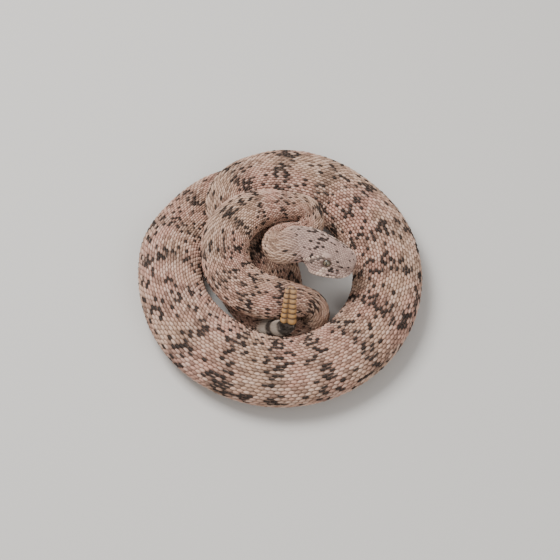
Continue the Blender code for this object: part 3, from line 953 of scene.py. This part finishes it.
def wrapped_grid(name, points, attributes, maps):
    """A grid bent to rows of points that close round a tube. Seams, poles and ends are closed."""
    rows, columns = points.shape[:2]
    maker = bmesh.new()
    bmesh.ops.create_grid(maker, x_segments=columns - 1, y_segments=rows - 1, size=1.0)
    mesh = bpy.data.meshes.new(name)
    maker.to_mesh(mesh)
    flat = np.empty(len(mesh.vertices) * 3)
    mesh.vertices.foreach_get("co", flat)
    flat = flat.reshape(-1, 3)
    column = np.rint((flat[:, 0] + 1.0) / 2.0 * (columns - 1)).astype(int)
    row = np.rint((flat[:, 1] + 1.0) / 2.0 * (rows - 1)).astype(int)
    mesh.vertices.foreach_set("co", points[row, column].ravel())
    for label, values in attributes.items():
        layer = mesh.attributes.new(label, "FLOAT", "POINT")
        layer.data.foreach_set("value", values[row, column].astype(np.float32).ravel())
    corners = np.empty(len(mesh.loops), dtype=int)
    mesh.loops.foreach_get("vertex_index", corners)
    for label, values in maps.items():
        layer = mesh.uv_layers.new(name=label)
        flat_values = values(row[corners].reshape(-1, 4), column[corners].reshape(-1, 4))
        layer.uv.foreach_set("vector", flat_values.reshape(-1).astype(np.float32))
    maker.clear()
    maker.from_mesh(mesh)
    rim = [vert for vert in maker.verts if vert.is_boundary]
    bmesh.ops.remove_doubles(maker, verts=rim, dist=1e-6)
    open_edges = [edge for edge in maker.edges if edge.is_boundary]
    bmesh.ops.holes_fill(maker, edges=open_edges, sides=0)
    bmesh.ops.recalc_face_normals(maker, faces=maker.faces)
    maker.to_mesh(mesh)
    maker.free()
    mesh.shade_smooth()
    return mesh


def scale_shape(across, stations, outline, plate, rim, keel=None):
    """One scale's points and faces. x runs from root to tip, y across, z is height in scale thicknesses.

    outline, plate, rim and keel give the half width and the heights at each station from root to tip."""
    keel = keel or [0.0] * len(stations)
    maker = bmesh.new()
    bmesh.ops.create_grid(maker, x_segments=len(stations) - 1, y_segments=len(across) - 1, size=1.0)
    for vert in maker.verts:
        station = round((vert.co.x + 1.0) / 2.0 * (len(stations) - 1))
        side = across[round((vert.co.y + 1.0) / 2.0 * (len(across) - 1))]
        wide = abs(side)
        height = rim[station] if wide == 1.0 else plate[station] * (1.0 - 0.3 * wide ** 2)
        if wide == 0.0:
            height += keel[station]
        vert.co = (stations[station], side * outline[station], height)
    edges = [edge for edge in maker.edges if edge.is_boundary]
    bmesh.ops.holes_fill(maker, edges=edges, sides=0)
    bmesh.ops.recalc_face_normals(maker, faces=maker.faces)
    points = np.array([vert.co for vert in maker.verts])
    faces = [[vert.index for vert in face.verts] for face in maker.faces]
    maker.free()
    return points, faces


def keeled_scale(keel=1.0):
    """A pointed oval plate with a ridge, sunk at its root and free at its tip."""
    return scale_shape(
        across=(-1.0, -0.36, 0.0, 0.36, 1.0),
        stations=(0.0, 0.18, 0.45, 0.72, 0.92, 1.0),
        outline=(0.40, 0.80, 1.0, 0.80, 0.42, 0.14),
        plate=(-0.6, 0.10, 0.55, 0.85, 0.95, 0.25),
        rim=(-0.7, -0.45, -0.25, -0.1, 0.0, -0.1),
        keel=(0.0, 0.12 * keel, 0.36 * keel, 0.52 * keel, 0.42 * keel, 0.0),
    )


def smooth_plate():
    """A rounded plate with no keel, for the lips and throat."""
    return scale_shape(
        across=(-1.0, -0.8, 0.0, 0.8, 1.0),
        stations=(0.0, 0.12, 0.5, 0.88, 1.0),
        outline=(0.72, 0.96, 1.0, 0.96, 0.72),
        plate=(-0.3, 0.5, 0.8, 0.6, 0.0),
        rim=(-0.5, -0.4, -0.3, -0.4, -0.5),
    )


def brow_plate():
    """The large plate over an eye, thick along its outer edge."""
    return scale_shape(
        across=(-1.0, -0.85, -0.4, 0.0, 0.4, 0.85, 1.0),
        stations=(0.0, 0.08, 0.25, 0.5, 0.75, 0.92, 1.0),
        outline=(0.35, 0.7, 0.95, 1.0, 0.9, 0.62, 0.25),
        plate=(-0.4, 0.5, 0.9, 1.0, 0.9, 0.5, -0.3),
        rim=(-0.6, -0.3, -0.1, 0.0, -0.1, -0.3, -0.6),
    )


def belly_plate():
    """A wide thin plate in one transverse band, its free edge towards the tail."""
    return scale_shape(
        across=tuple(i / 7.0 for i in range(-7, 8)),
        stations=(0.0, 0.2, 0.8, 1.0),
        outline=(1.0, 1.0, 1.0, 1.0),
        plate=(-0.5, 0.15, 0.8, 0.2),
        rim=(-0.4, -0.4, -0.4, -0.4),
    )


def joined_scales(name, sheet, shape, places, material, seed):
    """Many scales as one mesh, each bent to the surface under it.

    places holds, for each scale, distance, share, length, half width as a share, and height."""
    template, faces = shape
    rng = np.random.default_rng(seed)
    distance, share, length, half_share, height = [column[:, None] for column in places.T]
    count = len(places)
    skew = rng.normal(0.0, SCALE_SKEW, (count, 1))
    x, y, z = template.T
    along = distance + length * (0.45 - x)
    girth = sheet.girth_at(distance)
    around = share + half_share * y + skew * (x - 0.5) * length / girth
    points = sheet.at(along, around, height * z * rng.uniform(*HEIGHT_RANGE, (count, 1)))
    corners = np.array([index for face in faces for index in face])
    starts = np.cumsum([0] + [len(face) for face in faces[:-1]])
    each = np.arange(count)[:, None]
    all_corners = (corners + each * len(template)).ravel()
    mesh = bpy.data.meshes.new(name)
    mesh.vertices.add(points.size // 3)
    mesh.vertices.foreach_set("co", points.astype(np.float32).ravel())
    mesh.loops.add(len(all_corners))
    mesh.loops.foreach_set("vertex_index", all_corners)
    mesh.polygons.add(count * len(faces))
    mesh.polygons.foreach_set("loop_start", (starts + each * len(corners)).ravel())
    mesh.update(calc_edges=True)
    full = np.ones((1, len(template)))
    draw = rng.uniform(0.0, 1.0, (count, 1))
    folded = np.mod(share + 0.5, 1.0) - 0.5
    along_head = sheet.along_at(distance)
    values = {"band": band_number(distance), "along": along_head, "share": folded, "draw": draw}
    for label, value in values.items():
        layer = mesh.attributes.new(label, "FLOAT", "POINT")
        layer.data.foreach_set("value", (value * full).astype(np.float32).ravel())
    root = bake_place(sheet, distance, folded)
    patch = BAKE_PATCH * np.stack([x - 0.5, y / 2.0], axis=-1)
    bake = root + patch[None]
    place = np.stack([distance * MM, folded * girth * MM + 0.5], axis=-1) * np.ones((1, len(template), 1))
    local = np.stack([x, (y / max(abs(y)) + 1.0) / 2.0], axis=-1)[None] * np.ones((count, 1, 1))
    for label, value in (("Place", place), ("Scale", local), ("OFBake", bake)):
        layer = mesh.uv_layers.new(name=label)
        layer.uv.foreach_set("vector", value.reshape(-1, 2)[all_corners].astype(np.float32).ravel())
    mesh.shade_smooth()
    return link_piece(name, mesh, material)


def stations_between(sheet, start, end, pitch):
    """Distances from start to end whose spacing follows the girth."""
    fine = np.arange(start, end, 0.25)
    gaps = pitch * size_share(sheet.girth_at(fine))
    count = np.concatenate([[0.0], np.cumsum(0.25 / gaps[:-1])])
    places = np.arange(0.0, count[-1], 0.5)
    return np.interp(places, count, fine), np.interp(places, count, gaps)


def row_shares(rows):
    """Places of the scale rows across the back, closer together along the spine."""
    half = rows // 2
    part = np.arange(-half, half + 1) / (half + 0.5)
    return BELLY_SHARE * part * (1.0 - SPINE_NARROWING + SPINE_NARROWING * np.abs(part))


def lattice(sheet, start, end, pitch, rows, height):
    """Staggered places of scales over the back: every second row starts half a scale later."""
    distances, gaps = stations_between(sheet, start, end, pitch)
    shares = row_shares(rows)
    spacing = np.gradient(shares)
    places = []
    for index in range(rows):
        these = slice(index % 2, None, 2)
        d = distances[these]
        g = gaps[these]
        full = np.ones(len(d))
        half_width = full * spacing[index] * SCALE_HALF_WIDTH
        columns = (d, full * shares[index], g * SCALE_LENGTH, half_width, height * g / pitch)
        places.append(np.stack(columns, axis=-1))
    return np.vstack(places)


def clear_of_openings(sheet, places):
    """Leaves out scales whose middle lies over an eye, pit or nostril."""
    middle = to_route(sheet.at(places[:, 0], places[:, 1], np.zeros(len(places))))
    keep = np.ones(len(places), dtype=bool)
    for centre, reach in sheet.openings:
        keep &= np.linalg.norm(middle - centre, axis=1) > reach
    return places[keep]


class CoatSettings(bpy.types.PropertyGroup):
    """Sizes of the skin and scales."""

    depth: FloatProperty(
        name="Coat depth", description="How far the skin lies inside the outer surface on the ring",
        default=0.0005, unit="LENGTH")
    rows: IntProperty(
        name="Scale rows", description="Rows of scales across the back", default=39)
    pitch: FloatProperty(
        name="Scale pitch", description="From one scale to the next in its row, on the ring",
        default=0.0031, unit="LENGTH")
    thickness: FloatProperty(
        name="Scale height", description="Height of a scale's tip above the skin, on the ring",
        default=0.00055, unit="LENGTH")
    head_pitch: FloatProperty(
        name="Head scale pitch", description="Pitch on the head, before it is reduced for the girth",
        default=0.0025, unit="LENGTH")
    lip_plates: IntProperty(
        name="Lip plates", description="Plates along each side of each lip", default=16)


class ColourSettings(bpy.types.PropertyGroup):
    """Colours of the animal."""

    pink: FloatVectorProperty(
        name="Ground pink", description="Pinkish ground colour of the back",
        default=(0.56, 0.305, 0.23), subtype="COLOR")
    tan: FloatVectorProperty(
        name="Ground tan", description="Sandier ground colour of the back",
        default=(0.51, 0.325, 0.225), subtype="COLOR")
    # Cream also lays the painted highlight along the scales' keels.
    cream: FloatVectorProperty(
        name="Cream", description="Pale tips, keels and edges of scales",
        default=(0.74, 0.54, 0.43), subtype="COLOR")
    # Brown also lays the painted shade at scale roots and edges, on the skin between scales, and in the
    # rattle's waists and groove.
    brown: FloatVectorProperty(
        name="Brown", description="Roots of scales and the skin between them",
        default=(0.085, 0.050, 0.037), subtype="COLOR")
    dark: FloatVectorProperty(
        name="Dark", description="Near-black marks", default=(0.022, 0.015, 0.012), subtype="COLOR")
    belly: FloatVectorProperty(
        name="Belly", description="Belly plates and throat", default=(0.62, 0.49, 0.40), subtype="COLOR")
    head: FloatVectorProperty(
        name="Head", description="Greyer ground colour of the head", default=(0.40, 0.285, 0.255),
        subtype="COLOR")
    dusk: FloatVectorProperty(
        name="Dusk", description="Grey-brown stripe behind the eye", default=(0.10, 0.078, 0.068),
        subtype="COLOR")
    tail: FloatVectorProperty(
        name="Tail", description="Pale grey between the tail's black rings", default=(0.40, 0.34, 0.28),
        subtype="COLOR")
    horn: FloatVectorProperty(
        name="Rattle", description="Straw-coloured horn", default=(0.44, 0.235, 0.085), subtype="COLOR")
    iris: FloatVectorProperty(
        name="Iris", description="Olive brown iris", default=(0.11, 0.09, 0.045), subtype="COLOR")


class StudioSettings(bpy.types.PropertyGroup):
    """Floor, lights and camera."""

    floor: FloatVectorProperty(
        name="Floor", description="Plain pale floor", default=(0.62, 0.60, 0.57), subtype="COLOR")
    key_power: FloatProperty(name="Key light", description="Power of the large soft light",
                             default=18.0, unit="POWER")
    fill: FloatProperty(name="Fill", description="Strength of the even light from all round", default=0.55)
    elevation: FloatProperty(name="Camera elevation", description="Above the horizon",
                             default=math.radians(62.0), subtype="ANGLE")
    distance: FloatProperty(name="Camera distance", description="From the coil's middle",
                            default=1.3, unit="LENGTH")
    lens: FloatProperty(name="Lens", description="Focal length on a 36 mm sensor", default=137.0)


class SnakeSkin(bpy.types.Operator):
    """Add the skin from the tail's end to the snout"""

    bl_idname = "rattlesnake.skin"
    bl_label = "Skin"

    def execute(self, context):
        sheet = sheet_for(context.scene.snake_coat.depth)
        body = np.arange(0, sheet.body_count, SKIN_BODY_ROW_STEP)
        rows = np.concatenate([body, np.arange(sheet.body_count, len(sheet.distance))])
        columns = np.arange(0, len(sheet.shares), SKIN_COLUMN_STEP)
        points = to_metres(sheet.points[rows][:, columns])
        distance = sheet.distance[rows][:, None] * np.ones((1, len(columns)))
        share = sheet.shares[columns][None, :] * np.ones((len(rows), 1))
        girth = sheet.girths[rows][:, None]
        place = np.stack([distance * MM, share * girth * MM + 0.5], axis=-1)

        def place_map(row, column):
            return place[row, column]

        def bake_map(row, column):
            strip = bake_strip(sheet, distance[row, column].mean(axis=1))[:, None]
            return bake_place(sheet, distance[row, column], share[row, column], strip)

        attributes = {"band": band_number(distance), "along": sheet.along_at(distance), "share": share,
                      "draw": 0.4 * np.ones(share.shape)}
        maps = {"Place": place_map, "OFBake": bake_map}
        mesh = wrapped_grid("skin", points, attributes, maps)
        skin = link_piece("skin", mesh, skin_material(context.scene.snake_colours))
        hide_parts(*FLESH_NODES)
        return {"FINISHED"}


class BodyScales(bpy.types.Operator):
    """Add the keeled scales of the tail, body and neck"""

    bl_idname = "rattlesnake.body_scales"
    bl_label = "Body scales"

    def execute(self, context):
        coat = context.scene.snake_coat
        sheet = sheet_for(coat.depth)
        nape = sheet.head_distance(1.0)
        places = lattice(sheet, 0.6, nape, coat.pitch / MM, coat.rows, coat.thickness / MM)
        material = scale_material("body_scales", context.scene.snake_colours)
        cuts = (0.0, 110.0, 210.0, 340.0, 470.0, 600.0, 760.0, 2000.0)
        names = ("tail", "hind", "ring_left", "ring_near", "ring_right", "ring_far", "fore")
        for index, (name, low, high) in enumerate(zip(names, cuts, cuts[1:])):
            these = places[(places[:, 0] >= low) & (places[:, 0] < high)]
            joined_scales("scales_" + name, sheet, keeled_scale(), these, material, index + 1)
        return {"FINISHED"}


class BellyPlates(bpy.types.Operator):
    """Add the broad plates under the body"""

    bl_idname = "rattlesnake.belly_plates"
    bl_label = "Belly plates"

    def execute(self, context):
        coat = context.scene.snake_coat
        sheet = sheet_for(coat.depth)
        end = sheet.head_distance(8.0)
        distances, gaps = stations_between(sheet, 2.0, end, 1.15 * coat.pitch / MM)
        distances = distances[::2]
        gaps = gaps[::2]
        full = np.ones(len(distances))
        half_share = 0.5 - BELLY_SHARE + 0.012
        heights = coat.thickness / MM * 0.8 * size_share(sheet.girth_at(distances))
        columns = (distances, full * 0.5, gaps * 1.25, full * half_share, heights)
        places = np.stack(columns, axis=-1)
        material = scale_material("belly_plates", context.scene.snake_colours, keeled=False)
        joined_scales("belly_plates", sheet, belly_plate(), places, material, 20)
        return {"FINISHED"}


class HeadScales(bpy.types.Operator):
    """Add the small scales of the crown and cheeks, and those of the throat"""

    bl_idname = "rattlesnake.head_scales"
    bl_label = "Head scales"

    def execute(self, context):
        coat = context.scene.snake_coat
        sheet = sheet_for(coat.depth)
        start = sheet.head_distance(HEAD_SCALES_START)
        end = sheet.head_distance(HEAD_SCALES_END)
        pitch = coat.head_pitch / MM
        places = lattice(sheet, start, end, pitch, HEAD_ROWS, CROWN_SCALE_HEIGHT)
        mouth = sheet.mouth_share_at(places[:, 0])
        places = places[np.abs(places[:, 1]) < mouth - 1.05 * lip_share(sheet, places[:, 0])]
        places = clear_of_openings(sheet, places)
        material = scale_material("head_scales", context.scene.snake_colours)
        joined_scales("scales_head", sheet, keeled_scale(0.7), places, material, 30)
        throat = lattice(sheet, start, end, THROAT_PITCH * pitch, HEAD_ROWS, THROAT_SCALE_HEIGHT)
        throat[:, 1] = 0.5 + throat[:, 1] * THROAT_SHARE / BELLY_SHARE
        throat[:, 3] *= THROAT_SHARE / BELLY_SHARE * 1.15
        reach = 0.5 - sheet.mouth_share_at(throat[:, 0]) - lip_share(sheet, throat[:, 0])
        throat = throat[np.abs(throat[:, 1] - 0.5) < reach]
        smooth = scale_material("smooth_scales", context.scene.snake_colours, keeled=False)
        joined_scales("scales_throat", sheet, smooth_plate(), throat, smooth, 31)
        return {"FINISHED"}


def lip_share(sheet, distance):
    """How much of the girth a lip's plates take, from nothing behind the jaw's corner."""
    part = ease((distance - sheet.head_distance(JAW_CORNER - 3.0)) / 4.0)
    return LIP_PLATE_HEIGHT * part / sheet.girth_at(distance)


class FacePlates(bpy.types.Operator):
    """Add the plates along the lips and the one over each eye"""

    bl_idname = "rattlesnake.face_plates"
    bl_label = "Face plates"

    def execute(self, context):
        coat = context.scene.snake_coat
        sheet = sheet_for(coat.depth)
        first = sheet.head_distance(LIP_PLATE_START)
        last = sheet.head_distance(LIP_PLATE_END)
        ends = np.linspace(first, last, coat.lip_plates + 1)
        middle = (ends[:-1] + ends[1:]) / 2.0
        length = np.diff(ends) * 1.02
        thickness = LIP_PLATE_THICKNESS * np.ones(len(middle))
        girth = sheet.girth_at(middle)
        mouth = sheet.mouth_share_at(middle)
        height = LIP_PLATE_HEIGHT * (0.72 + 0.28 * girth / girth.max())
        rows = []
        for sign in (1.0, -1.0):
            for way in (-1.0, 1.0):
                share = sign * (mouth + way * (MOUTH_GAP + height / 2.0) / girth)
                rows.append(np.stack((middle, share, length, 0.5 * height / girth, thickness), axis=-1))
        smooth = scale_material("lip_plates", context.scene.snake_colours, keeled=False)
        joined_scales("lip_plates", sheet, smooth_plate(), np.vstack(rows), smooth, 32)
        distance = sheet.head_distance(EYE_ALONG - 0.2)
        girth = sheet.girth_at(distance)
        brow = (distance, BROW_SHARE, BROW_LENGTH, BROW_HALF_WIDTH / girth, BROW_THICKNESS)
        brows = np.array([brow, brow])
        brows[1, 1] = -BROW_SHARE
        joined_scales("brow_plates", sheet, brow_plate(), brows, smooth, 33)
        return {"FINISHED"}


class Eyes(bpy.types.Operator):
    """Add both eyes"""

    bl_idname = "rattlesnake.eyes"
    bl_label = "Eyes"

    def execute(self, context):
        sheet = sheet_for(context.scene.snake_coat.depth)
        material = eye_material(context.scene.snake_colours)
        _, to_top = sheet.head.axes(np.array(EYE_ALONG))
        for side, axis in zip(("right", "left"), sheet.eye_axes):
            low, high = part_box("eye_" + side)
            centre = (low + high) / 2.0
            radius = (high.x - low.x) / 2.0
            outward = Vector(unit(axis + 0.12 * sheet.head.forward))
            forward = Vector(sheet.head.forward)
            upward = Vector(to_top)
            maker = bmesh.new()
            bmesh.ops.create_uvsphere(maker, u_segments=48, v_segments=32, radius=radius * 0.985)
            mesh = bpy.data.meshes.new("eyeball_" + side)
            for vert in maker.verts:
                facing = max(0.0, vert.co.normalized().dot(outward))
                vert.co = vert.co * (1.0 + 0.03 * facing ** 6)
            gaze = maker.loops.layers.uv.new("Gaze")
            for face in maker.faces:
                for loop in face.loops:
                    offset = loop.vert.co / radius
                    behind = offset.dot(outward) < 0.0
                    loop[gaze].uv = (2.0, 2.0) if behind else (offset.dot(forward), offset.dot(upward))
            bmesh.ops.translate(maker, verts=maker.verts, vec=centre)
            maker.to_mesh(mesh)
            maker.free()
            mesh.shade_smooth()
            eye = link_piece("eyeball_" + side, mesh, material)
            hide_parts("eye_" + side)
        return {"FINISHED"}


def eye_material(colours):
    """A clear glossy shield over an olive iris with an upright slit."""
    graph = Graph("eye_glass", {"Roughness": 0.08, "Specular IOR Level": 0.5, "Coat Weight": 0.6,
                                "Coat Roughness": 0.03})
    forward, upward, gaze = graph.map("Gaze")
    fibres = graph.noise(gaze, 7.0, 3.0)
    reach = (forward * forward + upward * upward).maths("SQRT", forward * forward + upward * upward)
    slit = abs(forward) + (upward * upward) * 0.30
    pupil = 1.0 - slit.step(0.20, 0.26)
    tone = graph.mix(fibres.step(0.3, 0.75) * 0.25, colours.iris, colours.cream)
    tone = graph.mix(reach.step(0.75, 1.0) * 0.8, tone, colours.dark)
    tone = graph.mix(pupil, tone, (0.004, 0.004, 0.004))
    graph.feed("Base Color", tone)
    return graph.material


class Rattle(bpy.types.Operator):
    """Add the rattle's loose horny segments"""

    bl_idname = "rattlesnake.rattle"
    bl_label = "Rattle"

    def execute(self, context):
        sheet = sheet_for(context.scene.snake_coat.depth)
        tail_end, tangent, _, _, _, _ = sheet.axis.at(np.array([0.0]))
        base_normal = -tangent[0]
        start = tail_end[0] + base_normal * JOINT_GAP / 2.0
        direction = unit(np.array(RATTLE_DIRECTION))
        across = np.array([1.0, 0.0, 0.0])
        angles = np.linspace(0.0, 2.0 * math.pi, 65)
        rows = []
        shares = []
        length = RATTLE_SEGMENTS * RATTLE_PITCH
        for segment in range(RATTLE_SEGMENTS):
            for part, swell in SEGMENT_PROFILE:
                along = (segment + part) * RATTLE_PITCH
                width = RATTLE_BASE_WIDTH + (RATTLE_TIP_WIDTH - RATTLE_BASE_WIDTH) * along / length
                turn = ease(along / RATTLE_PITCH)
                normal = unit(base_normal * (1 - turn) + direction * turn)
                centre = start + direction * along
                rows.append(rattle_row(centre, normal, across, width * swell / 2.0, angles))
                shares.append(along / length)
        for part, swell in RATTLE_END:
            along = length + part * RATTLE_PITCH
            centre = start + direction * along
            rows.append(rattle_row(centre, direction, across, RATTLE_TIP_WIDTH * swell / 2.0, angles))
            shares.append(along / length)
        points = to_metres(np.array(rows))
        share = np.array(shares)

        def horn_map(row, column):
            return np.stack([share[row], 0.5 + 0.5 * np.cos(angles[column])], axis=-1)

        mesh = wrapped_grid("rattle_segments", points, {}, {"Horn": horn_map})
        rattle = link_piece("rattle_segments", mesh, horn_material(context.scene.snake_colours))
        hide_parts("rattle")
        return {"FINISHED"}


def rattle_row(centre, normal, across, half_width, angles):
    """A flattened section of two rounded lobes, with a groove between them on both broad faces."""
    facing = unit(np.cross(across, normal))
    level = unit(np.cross(normal, facing))
    wide = np.cos(angles)
    lobes = 0.42 * np.abs(np.sin(angles))
    for middle, reach, tall in ((0.5 * (1.0 + GROOVE_PLACE), 0.5 * (1.0 - GROOVE_PLACE), 1.0),
                                (-0.5 * (1.0 - GROOVE_PLACE), 0.5 * (1.0 + GROOVE_PLACE), 0.88)):
        lobes = np.maximum(lobes, tall * np.sqrt(np.clip(1.0 - ((wide - middle) / reach) ** 2, 0.0, 1.0)))
    thick = lobes * np.sign(np.sin(angles)) * half_width * RATTLE_THICKNESS
    return centre + np.outer(wide * half_width, level) + np.outer(thick, facing)


def horn_material(colours):
    """Dry straw-coloured horn, paler towards the tip, with painted shade in the waists between segments and
    in the groove between the lobes.
    """
    graph = Graph("rattle_horn", {"Roughness": 0.45, "Specular IOR Level": 0.45})
    along, across, _ = graph.map("Horn")
    coordinates = Socket(graph, graph.add("ShaderNodeTexCoord").outputs["Object"])
    fibres = graph.noise(coordinates, 900.0, 3.0)
    # Painted shade in the waists between segments and in the groove between the lobes, laid in brown.
    painted_waist_shade = 1.0 - (along * float(RATTLE_SEGMENTS)).near_whole().step(0.05, 0.30)
    groove = across.within(0.5 + 0.5 * GROOVE_PLACE, 0.10).step(0.0, 0.8)
    tone = graph.mix(along.step(0.3, 1.0) * 0.15, colours.horn, colours.cream)
    tone = graph.mix((painted_waist_shade * 0.9).most(groove * 0.6), tone, colours.brown)
    tone = graph.mix((fibres - 0.35) * 0.5, tone, colours.brown)
    graph.feed("Base Color", tone)
    graph.bump(fibres, 0.0001, 0.5)
    return graph.material


class Studio(bpy.types.Operator):
    """Add the floor, lights and camera"""

    bl_idname = "rattlesnake.studio"
    bl_label = "Studio"

    def execute(self, context):
        studio = context.scene.snake_studio
        graph = Graph("studio_floor", {"Roughness": 0.85, "Specular IOR Level": 0.1,
                                       "Base Color": (*studio.floor, 1.0)})
        maker = bmesh.new()
        bmesh.ops.create_grid(maker, x_segments=1, y_segments=1, size=4.0)
        mesh = bpy.data.meshes.new("floor")
        maker.to_mesh(mesh)
        maker.free()
        mesh.materials.append(graph.material)
        floor = bpy.data.objects.new("floor", mesh)
        floor.location.z = -0.0002
        context.collection.objects.link(floor)
        add_light("key_light", (-0.45, 0.35, 1.1), 0.55, studio.key_power)
        add_light("front_light", (0.5, -0.8, 0.9), 0.8, studio.key_power * 0.25)
        world = bpy.data.worlds.new("studio_world")
        world.use_nodes = True
        world.node_tree.nodes["Background"].inputs["Color"].default_value = (1.0, 1.0, 1.0, 1.0)
        world.node_tree.nodes["Background"].inputs["Strength"].default_value = studio.fill
        context.scene.world = world
        add_camera(context, studio)
        return {"FINISHED"}


def add_light(name, place, size, power):
    """A square soft light that faces the coil's middle."""
    light = bpy.data.lights.new(name, "AREA")
    light.size = size
    light.energy = power
    item = bpy.data.objects.new(name, light)
    item.location = place
    item.rotation_euler = (-Vector(place)).to_track_quat("-Z", "Y").to_euler()
    bpy.context.collection.objects.link(item)


def add_camera(context, studio):
    """The photograph's view: from the near side, high up, with the coil a little below the middle."""
    camera = bpy.data.cameras.new("camera")
    camera.lens = studio.lens
    camera.sensor_width = 36.0
    camera.clip_start = 0.05
    item = bpy.data.objects.new("camera", camera)
    lean = studio.elevation
    back = Vector((0.0, -math.cos(lean), math.sin(lean)))
    top = Vector((0.0, math.sin(lean), math.cos(lean)))
    aim = Vector((0.0, -BOX_CENTRE[1] * MM, 0.0)) + top * 4.6 * MM
    item.location = aim + back * studio.distance
    item.rotation_euler = (-back).to_track_quat("-Z", "Y").to_euler()
    context.collection.objects.link(item)
    context.scene.camera = item


class SnakePanel(bpy.types.Panel):
    """Everything that dresses the rattlesnake"""

    bl_idname = "VIEW3D_PT_rattlesnake"
    bl_label = "Rattlesnake"
    bl_space_type = "VIEW_3D"
    bl_region_type = "UI"
    bl_category = "Rattlesnake"

    def draw(self, context):
        layout = self.layout
        for group in (context.scene.snake_coat, context.scene.snake_colours, context.scene.snake_studio):
            box = layout.box()
            for name in group.bl_rna.properties.keys():
                if name not in ("rna_type", "name"):
                    box.prop(group, name)
        for operator in OPERATORS:
            layout.operator(operator.bl_idname)


SETTINGS = {"snake_coat": CoatSettings, "snake_colours": ColourSettings, "snake_studio": StudioSettings}
OPERATORS = (Studio, SnakeSkin, BodyScales, BellyPlates, HeadScales, FacePlates, Eyes, Rattle)


def register():
    for item in (*SETTINGS.values(), *OPERATORS, SnakePanel):
        bpy.utils.register_class(item)
    for name, group in SETTINGS.items():
        setattr(bpy.types.Scene, name, PointerProperty(type=group))


def unregister():
    for name in SETTINGS:
        delattr(bpy.types.Scene, name)
    for item in (SnakePanel, *reversed(OPERATORS), *reversed(SETTINGS.values())):
        bpy.utils.unregister_class(item)


def main():
    register()
    bpy.ops.rattlesnake.studio()
    bpy.ops.rattlesnake.skin()
    bpy.ops.rattlesnake.body_scales()
    bpy.ops.rattlesnake.belly_plates()
    bpy.ops.rattlesnake.head_scales()
    bpy.ops.rattlesnake.face_plates()
    bpy.ops.rattlesnake.eyes()
    bpy.ops.rattlesnake.rattle()


if __name__ == "__main__":
    main()
